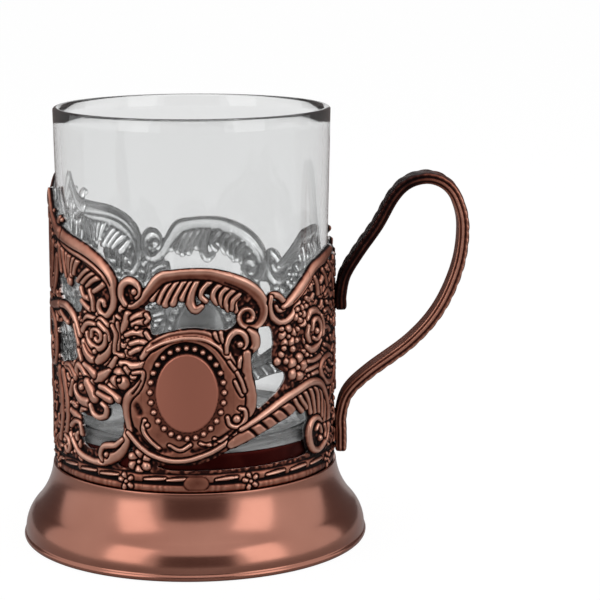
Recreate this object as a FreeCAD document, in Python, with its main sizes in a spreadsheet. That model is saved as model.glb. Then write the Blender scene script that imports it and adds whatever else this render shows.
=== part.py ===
"""Tea glass in its openwork metal holder (podstakannik), as a parametric FreeCAD document.

Millimetres, +Z up. The origin lies on the axis of the glass, in the plane that the foot stands on.
The handle points along +X and the medallion faces -Y. The holder is mirrored about the handle's plane.
"""
import FreeCAD, Part
import math
import os
import re
import Sketcher

Vector = FreeCAD.Vector

SIZES = (
    ("overall_height", 111.3, "table to the lip of the glass"),
    ("glass_rim_radius", 35.1, "outside of the lip"),
    ("glass_taper", 1.6, "how much narrower the glass is at its base than at its lip"),
    ("glass_wall", 1.8, "thickness of the glass wall"),
    ("glass_floor", 5.0, "thickness of the pressed base"),
    ("glass_heel", 2.5, "radius of the outer bottom corner"),
    ("glass_bowl", 4.0, "radius of the inner bottom corner"),
    ("glass_clearance", 0.32, "gap between the glass and the sleeve's highest edge"),
    ("foot_height", 20.0, "table to the seam under the collar"),
    ("foot_flare", 8.3, "how far the foot's rim stands out past the sleeve"),
    ("foot_bead", 0.9, "radius of the rolled rim"),
    ("foot_waist", 5.0, "how far the foot stands out where the bulge turns into the neck"),
    ("foot_waist_height", 9.0, "table to the same point"),
    ("foot_bulge", 10.0, "radius of the bulge's arc"),
    ("foot_neck", 19.5, "radius of the neck's arc"),
    ("foot_step", 0.4, "how far the foot stands out at the seam"),
    ("foot_wall", 1.0, "thickness of the spun foot"),
    ("sleeve_wall", 1.25, "thickness of the sleeve's ground"),
    ("sleeve_tall", 71.5, "seam to the highest point of the sleeve"),
    ("ledge_width", 2.55, "how far the ledge that carries the tray stands in"),
    ("ledge_thick", 4.2, "seam to the top of the ledge"),
    ("collar_tall", 4.8, "seam to the top of the collar"),
    ("collar_lower", 2.0, "seam to the groove between the collar's two bands"),
    ("collar_groove", 0.2, "width of that groove"),
    ("collar_depth", 0.4, "how far the bands swell"),
    ("tray_tall", 5.3, "height of the tray"),
    ("tray_wall", 0.8, "thickness of the tray"),
    ("tray_clearance", 0.15, "gap between tray and sleeve"),
    ("handle_reach", 34.3, "sleeve to the outermost point of the handle"),
    ("handle_over", 3.5, "how far the handle's loop rises over the sleeve's highest point"),
    ("handle_thick", 3.2, "thickness of the handle's strap"),
    ("handle_wide", 8.4, "width of the handle's strap"),
    ("handle_edge", 1.1, "rounding of the strap's long edges"),
    ("handle_start", 1.6, "seam to the bottom end of the lower solder foot"),
    ("handle_grip", 9.0, "how far the upper solder foot reaches down from the sleeve's edge"),
    ("solder_gap", 0.1, "solder between handle and sleeve"),
    ("relief", 0.8, "height of scrolls and leaves over the ground"),
    ("plate_relief", 0.45, "height of the medallion's plain oval"),
    ("bead_relief", 1.0, "height of the beads"),
    ("medallion_wide", 8.0, "half width of the plain oval"),
    ("medallion_tall", 10.0, "half height of the plain oval"),
    ("bead_ring_gap", 1.45, "plain oval's edge to the middle of the beads"),
    ("bead_radius", 0.75, "radius of one bead"),
    ("bead_count", 28, "beads round the medallion"),
)

doc = FreeCAD.newDocument("tea_glass_with_holder")
sheet = doc.addObject("Spreadsheet::Sheet", "Sizes")
for row, (alias, value, note) in enumerate(SIZES, start=1):
    sheet.set("A%d" % row, note)
    sheet.set("B%d" % row, str(value))
    sheet.setAlias("B%d" % row, alias)
doc.recompute()


def size(alias):
    """Value of one cell as a plain number."""
    return float(getattr(sheet, alias))


def bound(text):
    """Expression in which each word is a cell of the sheet."""
    return re.sub(r"[a-z][a-z_]*", lambda word: "Sizes." + word.group(0), text)


def worth(text):
    """Value of an expression of such words as a plain number."""
    return float(sheet.evalExpression(bound(text)))


# Sizes that follow from the sheet. The glass lies on the tray and the tray on the sleeve's ledge. The
# sleeve goes round the glass with its clearance at the crest, and all else is set out from the sleeve.
ledge_height = "(foot_height + ledge_thick)"
collar_height = "(foot_height + collar_tall)"
crest_height = "(foot_height + sleeve_tall)"
glass_low = "(%s + tray_wall)" % ledge_height
glass_base_radius = "(glass_rim_radius - glass_taper)"
glass_at_crest = ("(glass_rim_radius - glass_taper * (overall_height - %s) / (overall_height - %s))"
                  % (crest_height, glass_low))
bore_radius = "(%s + glass_clearance)" % glass_at_crest
sleeve_radius = "(%s + sleeve_wall)" % bore_radius
ledge_radius = "(%s - ledge_width)" % bore_radius
foot_radius = "(%s + foot_flare)" % sleeve_radius
waist_radius = "(%s + foot_waist)" % sleeve_radius
foot_top_radius = "(%s + foot_step)" % sleeve_radius


# ---------------------------------------------------------------- sketches and turned bodies

def pin(sketch, geometry, vertex, across, up):
    """Holds a vertex at two expressions, or on a sketch axis where one of them is nothing."""
    for text, kind, axis in ((across, "DistanceX", -2), (up, "DistanceY", -1)):
        value = float(sketch.evalExpression(bound(text)))
        if value == 0:
            sketch.addConstraint(Sketcher.Constraint("PointOnObject", geometry, vertex, axis))
            continue
        number = sketch.addConstraint(Sketcher.Constraint(kind, -1, 1, geometry, vertex, value))
        sketch.setExpression("Constraints[%d]" % number, bound(text))


def closed_outline(sketch, corners):
    """Draws lines and arcs from corner to corner.

    A corner is (across, up), or (across, up, radius, side) where an arc leads on to the next one:
    side is 1 when the arc turns to the left and -1 when it turns to the right.
    """
    places = [Vector(float(sketch.evalExpression(bound(c[0]))),
                     float(sketch.evalExpression(bound(c[1]))), 0) for c in corners]
    first_ends, last_ends = [], []
    for number, corner in enumerate(corners):
        start, end = places[number], places[(number + 1) % len(places)]
        if len(corner) == 2:
            piece = sketch.addGeometry(Part.LineSegment(start, end))
            first_ends.append((piece, 1))
            last_ends.append((piece, 2))
            continue
        radius, side = float(sketch.evalExpression(bound(corner[2]))), corner[3]
        half = (end - start) * 0.5
        rise = math.sqrt(radius ** 2 - half.Length ** 2)
        centre = start + half + Vector(-half.y, half.x, 0).normalize() * rise * side
        ends = (start, end) if side > 0 else (end, start)
        angles = [math.atan2(p.y - centre.y, p.x - centre.x) for p in ends]
        circle = Part.Circle(centre, Vector(0, 0, 1), radius)
        piece = sketch.addGeometry(Part.ArcOfCircle(circle, angles[0], angles[1]))
        first_ends.append((piece, 1 if side > 0 else 2))
        last_ends.append((piece, 2 if side > 0 else 1))
        number = sketch.addConstraint(Sketcher.Constraint("Radius", piece, radius))
        sketch.setExpression("Constraints[%d]" % number, bound(corner[2]))
    for number, corner in enumerate(corners):
        before = last_ends[number - 1]
        here = first_ends[number]
        sketch.addConstraint(Sketcher.Constraint("Coincident", *before, *here))
        pin(sketch, *here, corner[0], corner[1])


def new_sketch(body, name, role):
    """Sketch on one of the body's own origin planes."""
    sketch = body.newObject("Sketcher::SketchObject", name)
    plane = [f for f in body.Origin.OriginFeatures if f.Role == role][0]
    sketch.AttachmentSupport = [(plane, "")]
    sketch.MapMode = "FlatFace"
    doc.recompute()
    return sketch


def turned_body(label, corners):
    """Body of revolution about +Z; the outline lies in the XZ plane, on the +X side."""
    body = doc.addObject("PartDesign::Body", label + "_body")
    body.Label = label
    sketch = new_sketch(body, label + "_profile", "XZ_Plane")
    closed_outline(sketch, corners)
    turn = body.newObject("PartDesign::Revolution", label + "_turn")
    turn.Profile = sketch
    turn.ReferenceAxis = (sketch, ["V_Axis"])
    turn.Angle = 360
    doc.recompute()
    return body


# ---------------------------------------------------------------- glass
# Plain pressed tumbler: a thick base, a thin slightly flared wall and a fire-polished lip.

LIP_RADIUS = 0.55          # lip's arc radius for a wall of 1
LIP_RISE = LIP_RADIUS - math.sqrt(LIP_RADIUS ** 2 - 0.25)
lip_height = "overall_height - glass_wall * %.6f" % LIP_RISE
bowl_radius = "(%s - glass_wall)" % glass_base_radius
bowl_height = "(%s + glass_floor)" % glass_low

glass = turned_body("glass", [
    ("0", glass_low),
    (glass_base_radius + " - glass_heel", glass_low, "glass_heel * 1.02", 1),
    (glass_base_radius, glass_low + " + glass_heel"),
    ("glass_rim_radius", lip_height, "glass_wall * %.2f" % LIP_RADIUS, 1),
    ("glass_rim_radius - glass_wall", lip_height),
    (bowl_radius, bowl_height + " + glass_bowl", "glass_bowl * 1.02", -1),
    (bowl_radius + " - glass_bowl", bowl_height),
    ("0", bowl_height),
])

# ---------------------------------------------------------------- tray
# Shallow pressed dish inside the sleeve: it lies on the ledge of the collar and the glass stands in it.

tray_radius = "(%s - tray_clearance)" % bore_radius
tray_height = "%s + tray_tall" % ledge_height
tray = turned_body("tray", [
    ("0", ledge_height),
    (tray_radius, ledge_height),
    (tray_radius, tray_height),
    (tray_radius + " - tray_wall", tray_height),
    (tray_radius + " - tray_wall", glass_low),
    ("0", glass_low),
])

# ---------------------------------------------------------------- foot
# Bell spun from sheet: rolled rim, bulge, concave neck and a flange turned in under the collar.

# The rim's bead is a round of 150 degrees that starts flat on the table.
bead_edge = "(%s - foot_bead / 2)" % foot_radius
bead_height = "foot_bead * %.4f" % (1 + math.sqrt(0.75))
# The inner face lies a wall's thickness inside, square to the slope that the waist has.
WAIST_IN, WAIST_DOWN = 0.74, 0.67
foot = turned_body("foot", [
    (foot_radius + " - foot_bead - foot_wall", "0"),
    (foot_radius + " - foot_bead", "0", "foot_bead", 1),
    (bead_edge, bead_height, "foot_bulge", 1),
    (waist_radius, "foot_waist_height", "foot_neck", -1),
    (foot_top_radius, "foot_height"),
    (ledge_radius, "foot_height"),
    (ledge_radius, "foot_height - foot_wall"),
    (foot_top_radius + " - foot_wall", "foot_height - foot_wall", "foot_neck + foot_wall", 1),
    (waist_radius + " - foot_wall * %.2f" % WAIST_IN, "foot_waist_height - foot_wall * %.2f" % WAIST_DOWN,
     "foot_bulge - foot_wall", -1),
    (bead_edge + " - foot_wall", bead_height),
])

# ---------------------------------------------------------------- sleeve: ground and collar
# The casting's plain ground: a tube with a ledge inside and a collar of two rounded bands.

groove_height = "(foot_height + collar_lower)"
collar_base = "%s - collar_depth" % sleeve_radius


def swell_radius(chord):
    """Radius of the arc that swells by the collar's depth over a chord."""
    return "(%s * %s / 4 + collar_depth * collar_depth) / (2 * collar_depth)" % (chord, chord)


ground = turned_body("sleeve_ground", [
    (ledge_radius, "foot_height"),
    (collar_base, "foot_height", swell_radius("collar_lower"), 1),
    (collar_base, groove_height),
    (collar_base, groove_height + " + collar_groove",
     swell_radius("(collar_tall - collar_lower - collar_groove)"), 1),
    (collar_base, collar_height),
    (sleeve_radius, collar_height),
    (sleeve_radius, crest_height),
    (bore_radius, crest_height),
    (bore_radius, ledge_height),
    (ledge_radius, ledge_height),
])

# ---------------------------------------------------------------- sleeve: openwork
# The ornament is drawn unrolled, as (azimuth in degrees, height above the collar): azimuth 0 is the
# medallion at -Y, 90 the handle at +X and -90 the crest at -X. The drawing is 66.7 mm tall and is
# stretched to the height that the sleeve has. Each form is pressed through the wall along the normal
# at its own middle azimuth. The drawing shows the front half; the back is its mirror image.

DRAWING_TALL = 66.7
NEAR, FAR = 0.75, 1.15     # a pressed form runs between these shares of the sleeve's radius
outside = worth(sleeve_radius)
inside = worth(bore_radius)
crest_top = worth(crest_height)
stretch = (crest_top - worth(collar_height)) / DRAWING_TALL


def radial(azimuth):
    """Unit vector that points out of the sleeve at an azimuth."""
    turn = math.radians(azimuth)
    return Vector(math.sin(turn), -math.cos(turn), 0)


def lifted(height):
    """Height over the table of a height in the drawing."""
    return worth(collar_height) + height * stretch


def flat_point(middle, place):
    """Point of the unrolled drawing, put in the plane that the form is pressed from."""
    azimuth, height = place
    outward = radial(middle)
    aside = Vector(-outward.y, outward.x, 0)
    shift = outside * math.sin(math.radians(azimuth - middle))
    return outward * outside * NEAR + aside * shift + Vector(0, 0, lifted(height))


def pressed(middle, edges):
    """Solid that the closed edges sweep as they move outwards."""
    face = Part.Face(Part.Wire(edges))
    return face.extrude(radial(middle) * outside * (FAR - NEAR))


def curve(middle, places, closed=False):
    """Smooth edge through places of the drawing."""
    spline = Part.BSplineCurve()
    spline.interpolate(Points=[flat_point(middle, place) for place in places], PeriodicFlag=closed)
    return spline.toShape()


def mean_azimuth(places):
    """Azimuth midway between the outermost places."""
    azimuths = [place[0] for place in places]
    return (min(azimuths) + max(azimuths)) / 2


def patch(places):
    """Rounded patch with a smooth closed edge."""
    middle = mean_azimuth(places)
    return pressed(middle, [curve(middle, places, closed=True)])


def degrees(length):
    """Azimuth that a length takes up on the sleeve."""
    return math.degrees(length / outside)


def ribbon(places, width):
    """Strap of one width along a line of places."""
    left, right = [], []
    for number, (azimuth, height) in enumerate(places):
        before = places[max(number - 1, 0)]
        after = places[min(number + 1, len(places) - 1)]
        along = Vector((after[0] - before[0]) / degrees(1), after[1] - before[1], 0).normalize()
        aside = Vector(-along.y, along.x, 0) * width / 2
        left.append((azimuth + degrees(aside.x), height + aside.y))
        right.append((azimuth - degrees(aside.x), height - aside.y))
    middle = mean_azimuth(places)
    ends = [Part.LineSegment(flat_point(middle, a), flat_point(middle, b)).toShape()
            for a, b in ((left[-1], right[-1]), (right[0], left[0]))]
    return pressed(middle, [curve(middle, left), ends[0], curve(middle, right[::-1]), ends[1]])


def polar(centre, radius, angle):
    """Place at a distance and an angle from another, the angle counted from the +azimuth side."""
    turn = math.radians(angle)
    return (centre[0] + degrees(radius * math.cos(turn)), centre[1] + radius * math.sin(turn))


def scroll(centre, radius, start, width=1.4, turns=1.1):
    """Clockwise spiral strap that closes in on a round eye."""
    steps = 9
    outer = radius - width / 2
    inner = radius * 0.42
    places = [polar(centre, outer + (inner - outer) * step / steps, start - 360 * turns * step / steps)
              for step in range(steps + 1)]
    return [ribbon(places, width), disc(centre, radius * 0.3)]


def disc(centre, radius):
    """Round stud."""
    middle = centre[0]
    circle = Part.Circle(flat_point(middle, centre), radial(middle), radius)
    return pressed(middle, [circle.toShape()])


def blossom(centre, radius, petals=5, depth=0.13):
    """Flower with scalloped edge: its radius rises and falls once for each petal."""
    places = []
    for step in range(4 * petals):
        swing = math.cos(math.radians(90 * step))
        places.append(polar(centre, radius * (1 - depth + depth * swing), 90 * step / petals))
    return patch(places)


def leaf(base, tip, width):
    """Pointed leaf: two arcs from base to tip."""
    middle = (base[0] + tip[0]) / 2
    ends = [flat_point(middle, place) for place in (base, tip)]
    along = ends[1] - ends[0]
    aside = along.cross(radial(middle)).normalize() * width / 2
    half = ends[0] + along * 0.45
    return pressed(middle, [Part.Arc(ends[0], half + aside, ends[1]).toShape(),
                            Part.Arc(ends[1], half - aside, ends[0]).toShape()])


# Upper edge of the front half: one smooth span for each arch, from the crest's dip to the handle.
TOP_SPANS = (
    ((-90, 61.7), (-82, 62.7), (-72, 65.7), (-67, 66.7)),
    ((-67, 66.7), (-64.5, 62.2), (-63, 58.7)),
    ((-63, 58.7), (-47, 56), (-39, 53.2), (-33, 49.2), (-27, 45.4)),
    ((-27, 45.4), (-24, 48.1), (-19, 46.6)),
    ((-19, 46.6), (-10, 49.4), (2, 50.8), (13, 50), (23, 46.7), (32, 41.5)),
    ((32, 41.5), (35, 43.6), (41, 42.2)),
    ((41, 42.2), (48, 45.2), (58, 49.2), (72, 52.2)),
    ((72, 52.2), (76, 47.7), (82, 44), (90, 43.2)),
)

# Openings of the front half, each a smooth closed edge.
WINDOWS = (
    ((-17, 41.8), (-15.5, 38.2), (-13, 35.5), (-6, 37.2), (1, 37.5), (9, 35.8), (15, 35.6), (19, 37.2),
     (18.5, 40.2), (12, 42.5), (4, 41.7), (-5, 42.2), (-12, 42.2)),
    ((-67, 49.2), (-61, 49.8), (-54, 46.2), (-48.5, 44.2), (-46.5, 40.2), (-49, 37.5), (-56, 38.6),
     (-62, 41.2), (-65.5, 45.2)),
    ((-65, 34.2), (-58, 34.5), (-51, 31.2), (-50.5, 26.2), (-56, 25), (-64, 24.2), (-66, 28.2)),
    ((-49, 13.2), (-43, 12.4), (-37, 13.2), (-33, 16.4), (-27.5, 16.8), (-25.8, 12.2), (-28, 7.8),
     (-35, 6.4), (-41, 4.2), (-47, 4.6), (-50, 8.2)),
    ((29, 36.2), (27.5, 31.2), (25.5, 26.7), (27.5, 21.2), (27.8, 15.6), (33, 17), (40, 20.6),
     (41.5, 23.2), (36, 26.8), (36.5, 31.2), (33, 35.7)),
    ((-13, 1.8), (-8, 2.2), (2, 2.2), (11, 4), (25, 8.5), (37, 11.8), (48, 13.4), (52, 11.6),
     (52, 6.2), (49, 1.8), (35, 0.9), (15, 0.8), (-5, 0.8)),
    ((-80, 33.7), (-74, 32.2), (-73, 28.2), (-77, 25.7), (-82, 27.2), (-83, 31.2)),
)

# Straps: centre line and width.
STRAPS = (
    (((-19.5, 44.8), (-13, 47.6), (-4, 49.4), (5, 49.5), (15, 47.9), (24, 44.4), (28.2, 40.6)), 2.0),
    (((-63, 56.8), (-54, 55.8), (-46, 54), (-39, 51.1), (-33.5, 46.8), (-31, 42.2)), 2.4),
    (((39, 37.8), (44, 41.2), (51, 44.8), (60, 48.4), (71, 50.6)), 2.4),
    (((11, 5.4), (20, 8.8), (30, 13), (40, 17.2), (49, 19.8), (57, 19.9), (63.5, 17.2), (67.5, 11.7),
      (67.5, 6.2)), 2.0),
    (((-24.5, 12.2), (-21, 7.8), (-14, 4.7), (-4, 3.4), (4, 3.8), (11, 5.4)), 1.7),
    (((-18, 30.7), (-11, 34), (0, 35.5), (9, 33.8), (16, 29.4), (21.5, 24.2), (25, 18.7), (23.5, 13.7)),
     1.9),
    (((-18.5, 26.2), (-22.5, 22.8), (-25.5, 17.2), (-24.5, 12.2)), 2.0),
    (((-54, 6.7), (-49, 3.2), (-43, 1.6), (-36, 1.4), (-30, 3.4), (-25, 7.6)), 1.7),
    (((-61.5, 22.2), (-60, 16.2), (-60.5, 10.2), (-63.5, 5.2)), 2.6),
    (((-68, 37.7), (-60, 37), (-53, 34.7), (-47, 32.2)), 2.4),
    (((-83, 37.2), (-76, 36), (-70, 32.2), (-69, 25.2), (-73, 21.7)), 2.2),
)

# Scrolls: centre, radius and the angle at which the strap runs in.
SCROLLS = (
    ((-22.5, 44.6), 3.4, -90),
    ((24, 38.9), 3.2, 0),
    ((-35, 41.4), 3.1, 0),
    ((37, 40.2), 3.3, -90),
    ((60.2, 6.2), 5.2, 0),
    ((19, 32.2), 2.8, 90),
    ((20, 13.2), 2.4, -20),
    ((-59, 3.8), 2.6, 60),
    ((65, 22.2), 3.0, 200),
    ((-80, 18.7), 3.6, 90),
)

# Flowers: centre and radius. The two roses also carry a smaller flower and a stud.
ROSES = (((-38, 33.2), 6.3), ((58, 32.7), 5.2))
FLOWERS = (((-47, 19.2), 3.6), ((-27, 23.2), 2.6), ((-19, 3.4), 3.0), ((43, 32.7), 2.7), ((48, 25.2), 3.1))

# Leaves: base, tip and width.
LEAVES = (
    ((-31, 38.2), (-18, 39.7), 3.4), ((-30, 30.7), (-14, 34.7), 3.6), ((-28, 28.2), (-13, 27.7), 3.0),
    ((-45, 26.2), (-31, 21.2), 3.0), ((-37, 16.2), (-38, 11.7), 3.0), ((-58, 19.2), (-50, 12.2), 4.0),
    ((-66, 51.2), (-59, 54.7), 3.6), ((-56, 49.2), (-46, 51.6), 3.2), ((-48, 46.2), (-40, 48.8), 3.0),
    ((-12, 46.2), (-15, 43.4), 1.5), ((-6, 47), (-9, 43.2), 1.5), ((0, 47.2), (-2, 43), 1.5),
    ((6, 47.2), (5, 43), 1.5), ((12, 46.2), (11.5, 43.2), 1.5), ((19, 44.6), (19, 41.8), 1.5),
    ((62, 40.2), (69, 48.2), 4.2), ((50, 39.2), (57, 45.7), 3.6), ((70, 35.2), (77, 43.2), 4.0),
    ((74, 15.2), (77, 30.2), 4.4), ((54, 16.2), (58, 12.2), 2.2), ((23, 11.4), (27, 9), 1.6),
    ((31, 14.8), (36, 11.8), 1.8), ((40, 17.6), (44, 13.8), 2.0),
    ((-82, 41.2), (-77, 59.2), 4.4), ((-76, 42.2), (-69, 63.2), 4.6), ((-78, 3.2), (-72, 17.2), 4.6),
)
# Centre of the medallion.
MEDALLION = (0, 20.2)

# Leaves on the line where the two halves meet.
CREST_LEAVES = (((-90, 40.2), (-90, 61.2), 6.0), ((-90, 3.2), (-90, 21.2), 7.0))


def openings():
    """All windows of the front half."""
    return Part.makeCompound([patch(places) for places in WINDOWS])


def top_trim():
    """What lies above the scalloped upper edge: radial strips, each drawn up past the crest."""
    strips = []
    for places in TOP_SPANS:
        edges = []
        for share in (NEAR, FAR):
            spline = Part.BSplineCurve()
            points = [radial(a) * outside * share + Vector(0, 0, lifted(z)) for a, z in places]
            spline.interpolate(Points=points, Parameters=[float(k) for k in range(len(points))])
            edges.append(spline.toShape())
        strip = Part.makeRuledSurface(edges[0], edges[1])
        strips.append(strip.extrude(Vector(0, 0, crest_top)))
    return Part.makeCompound(strips)


def layer(forms, height):
    """Forms that stand a height over the ground: only what lies in that thin shell is kept."""
    outer = Part.makeCylinder(outside + height, crest_top)
    inner = Part.makeCylinder((inside + outside) / 2, crest_top)
    return outer.cut(inner).common(forms)


def medallion():
    """Plain oval and its ring of beads, as two layers."""
    wide, tall = size("medallion_wide"), size("medallion_tall")
    oval = Part.Ellipse(flat_point(0, MEDALLION), tall, wide)
    oval.Axis = radial(0)
    oval.XAxis = Vector(0, 0, 1)
    count = round(size("bead_count"))
    beads = []
    for number in range(count):
        turn = 2 * math.pi * number / count
        aside = (wide + size("bead_ring_gap")) * math.sin(turn)
        up = (tall + size("bead_ring_gap")) * math.cos(turn)
        beads.append(disc((degrees(aside), MEDALLION[1] + up / stretch), size("bead_radius")))
    return (layer([pressed(0, [oval.toShape()])], size("plate_relief")),
            layer(beads, size("bead_relief")))


def ornament():
    """Raised forms of the front half."""
    low = [ribbon(places, width) for places, width in STRAPS]
    for centre, radius, start in SCROLLS:
        low += scroll(centre, radius, start)
    low += [blossom(centre, radius) for centre, radius in ROSES + FLOWERS]
    low += [leaf(*form) for form in LEAVES]
    high = [blossom(centre, radius * 0.55, petals=4) for centre, radius in ROSES]
    high += [disc(centre, radius * 0.36) for centre, radius in FLOWERS]
    forms = [layer(low, size("relief")), layer(high, size("bead_relief")), *medallion()]
    solids = [solid for form in forms for solid in form.Solids]
    return solids[0].multiFuse(solids[1:])


def coded(name, shape):
    """Keeps a shape worked out above as an object of the document."""
    item = doc.addObject("Part::Feature", name)
    item.Shape = shape
    return item


def with_mirror(name, front):
    """The front half's shape together with its mirror image about the handle's plane."""
    back = doc.addObject("Part::Mirroring", name + "_back")
    back.Source = front
    back.Normal = (0, 1, 0)
    pair = doc.addObject("Part::Compound", name)
    pair.Links = [front, back]
    return pair


windows = with_mirror("windows", coded("windows_front", openings()))
trim = with_mirror("trim", coded("trim_front", top_trim()))
relief = with_mirror("relief", coded("relief_front", ornament()))
crest = coded("crest_leaves", layer([leaf(*form) for form in CREST_LEAVES], size("relief")))
doc.recompute()

# Faces stay as the operations leave them: merging those that share a cylinder can turn one inside out.
pierced = doc.addObject("Part::Cut", "sleeve_pierced")
pierced.Base = ground
pierced.Tool = windows
pierced.Refine = False
trimmed = doc.addObject("Part::Cut", "sleeve_trimmed")
trimmed.Base = pierced
trimmed.Tool = trim
trimmed.Refine = False
sleeve = doc.addObject("Part::MultiFuse", "sleeve_carved")
sleeve.Label = "sleeve"
sleeve.Shapes = [trimmed, relief, crest]
sleeve.Refine = False
doc.recompute()

# ---------------------------------------------------------------- handle
# Cast strap bent to an ear: two upright feet lie against the sleeve and are soldered to it.

lower_end = "(foot_height + handle_start)"
strap_body = doc.addObject("PartDesign::Body", "handle_strap")
section = new_sketch(strap_body, "handle_section", "XY_Plane")
section.AttachmentOffset = FreeCAD.Placement(Vector(0, 0, worth(lower_end)), FreeCAD.Rotation())
section.setExpression("AttachmentOffset.Base.z", bound(lower_end))
inner_face = "(%s - solder_gap)" % sleeve_radius
outer_face = "(%s + handle_thick)" % inner_face
closed_outline(section, [
    (inner_face, "handle_wide / 2 * -1"),
    (outer_face + " - handle_edge", "handle_wide / 2 * -1", "handle_edge * 1.02", 1),
    (outer_face, "handle_edge - handle_wide / 2"),
    (outer_face, "handle_wide / 2 - handle_edge", "handle_edge * 1.02", 1),
    (outer_face + " - handle_edge", "handle_wide / 2"),
    (inner_face, "handle_wide / 2"),
])

# Centre line of the strap: distances are shares of the way from the feet to the loop's outermost
# point, heights shares of the way from the lower end to the loop's top. The upper foot ends a named
# length below the sleeve's edge, where the drawing meets the handle.
LOOP = ((0, 0), (0, 0.07), (0, 0.14), (0.06, 0.222), (0.23, 0.292), (0.58, 0.405), (0.81, 0.523),
        (0.965, 0.68), (1.0, 0.82), (0.945, 0.918), (0.855, 0.977), (0.71, 1.0), (0.55, 0.982),
        (0.43, 0.93), (0.30, 0.83), (0.15, 0.735), (0.03, 0.65), (0, 0.58))
start = Vector(worth("%s + handle_thick / 2" % inner_face), worth(lower_end), 0)
furthest = Vector(worth("%s + handle_reach - handle_thick / 2" % sleeve_radius),
                  worth("%s + handle_over - handle_thick / 2" % crest_height), 0)
loop_places = [Vector(start.x + (furthest.x - start.x) * out, start.y + (furthest.y - start.y) * up, 0)
               for out, up in LOOP]
loop_places.append(Vector(start.x, lifted(TOP_SPANS[-1][-1][1]) - size("handle_grip"), 0))
spine = new_sketch(strap_body, "handle_spine", "XZ_Plane")
spine_curve = Part.BSplineCurve()
spine_curve.interpolate(Points=loop_places)
spine.addGeometry(spine_curve)
strap = strap_body.newObject("PartDesign::AdditivePipe", "handle_pipe")
strap.Profile = section
strap.Spine = spine
strap.Mode = "Binormal"
strap.Binormal = Vector(0, 1, 0)
doc.recompute()

barrel = doc.addObject("Part::Cylinder", "handle_seat")
barrel.setExpression("Radius", bound(sleeve_radius + " + solder_gap"))
barrel.setExpression("Height", bound("overall_height"))
handle = doc.addObject("Part::Cut", "handle_seated")
handle.Label = "handle"
handle.Base = strap_body
handle.Tool = barrel
doc.recompute()

# ---------------------------------------------------------------- checks and export

for item in doc.Objects:
    if "Invalid" in item.State or "Error" in item.State:
        raise RuntimeError("%s failed: %s" % (item.Name, item.State))

os.makedirs("parts", exist_ok=True)
for node in (glass, sleeve, tray, foot, handle):
    shape = node.Shape
    if shape.isNull() or not shape.isValid() or len(shape.Solids) != 1:
        raise RuntimeError("%s is not one valid solid (%d solids)" % (node.Label, len(shape.Solids)))
    shape.Solids[0].exportStep("parts/%s.step" % node.Label)
    print("%-8s %9.1f mm3" % (node.Label, shape.Volume))
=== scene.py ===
"""Tea glass in its openwork copper holder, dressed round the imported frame. Metres, +Z up."""
import bpy
import numpy as np
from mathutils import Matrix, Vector


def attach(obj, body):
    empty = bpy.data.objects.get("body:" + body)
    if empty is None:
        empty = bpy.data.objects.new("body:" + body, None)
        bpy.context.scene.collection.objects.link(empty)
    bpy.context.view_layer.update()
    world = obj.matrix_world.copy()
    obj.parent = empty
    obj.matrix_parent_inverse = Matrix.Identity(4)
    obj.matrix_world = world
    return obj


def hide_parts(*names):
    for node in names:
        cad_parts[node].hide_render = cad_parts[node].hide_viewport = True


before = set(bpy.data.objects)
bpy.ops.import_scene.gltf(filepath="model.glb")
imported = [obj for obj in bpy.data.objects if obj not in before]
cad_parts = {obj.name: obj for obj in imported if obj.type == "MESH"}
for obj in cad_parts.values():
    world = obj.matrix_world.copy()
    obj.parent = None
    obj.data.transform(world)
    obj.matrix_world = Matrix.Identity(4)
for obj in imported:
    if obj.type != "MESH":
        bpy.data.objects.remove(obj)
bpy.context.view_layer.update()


# ---------------------------------------------------------------- camera, floor and light
# A table-top product set: pale floor, white surroundings, two soft boxes beside the camera and one above.
# Sheets that glow, seen only in reflections, stand before and behind the set and lie beside it: they paint
# dark reflections into polished metal, and light ones where that metal is itself seen through glass.

def add_object(name, data):
    """Object at the origin, linked to the scene."""
    item = bpy.data.objects.new(name, data)
    bpy.context.scene.collection.objects.link(item)
    return item


camera_tilt = 10.74                               # degrees that the camera looks down
camera_data = bpy.data.cameras.new("camera")
camera_data.sensor_width = 36
camera_data.lens = 124.95
camera_data.clip_start = 0.02
camera = add_object("camera", camera_data)
camera.location = (0.02736, -0.5267, 0.16113)
camera.rotation_euler = (np.radians(90 - camera_tilt), 0, 0)
bpy.context.scene.camera = camera
bpy.context.scene.view_settings.view_transform = "Standard"


def soft_box(name, place, size, watts):
    """Rectangular soft light that points from its place at the middle of the object."""
    lamp = bpy.data.lights.new(name, "AREA")
    lamp.shape = "RECTANGLE"
    lamp.size, lamp.size_y = size
    lamp.energy = watts
    item = add_object(name, lamp)
    item.location = place
    item.rotation_euler = (Vector((0, 0, 0.05)) - Vector(place)).to_track_quat("-Z", "Y").to_euler()


soft_box("box_left", (-0.62, -0.62, 0.42), (0.45, 0.7), 1.5)
soft_box("box_right", (0.66, -0.55, 0.40), (0.45, 0.7), 1.4)
soft_box("box_top", (0.0, 0.1, 1.0), (0.8, 0.8), 2.6)


def sheet(name, corners):
    """Flat four-cornered sheet."""
    mesh = bpy.data.meshes.new(name)
    mesh.from_pydata(corners, [], [(0, 1, 2, 3)])
    return add_object(name, mesh)


def node_material(name):
    """Material whose node tree is still empty, and that tree."""
    material = bpy.data.materials.new(name)
    material.use_nodes = True
    material.node_tree.nodes.clear()
    return material, material.node_tree


def add_node(tree, kind, sockets=(), **settings):
    """Adds a shader node; a socket, by name or number, takes a value or the output that feeds it."""
    node = tree.nodes.new("ShaderNode" + kind)
    for key, value in settings.items():
        setattr(node, key, value)
    for key, value in dict(sockets).items():
        if isinstance(value, bpy.types.NodeSocket):
            tree.links.new(value, node.inputs[key])
        else:
            node.inputs[key].default_value = value
    return node


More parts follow.
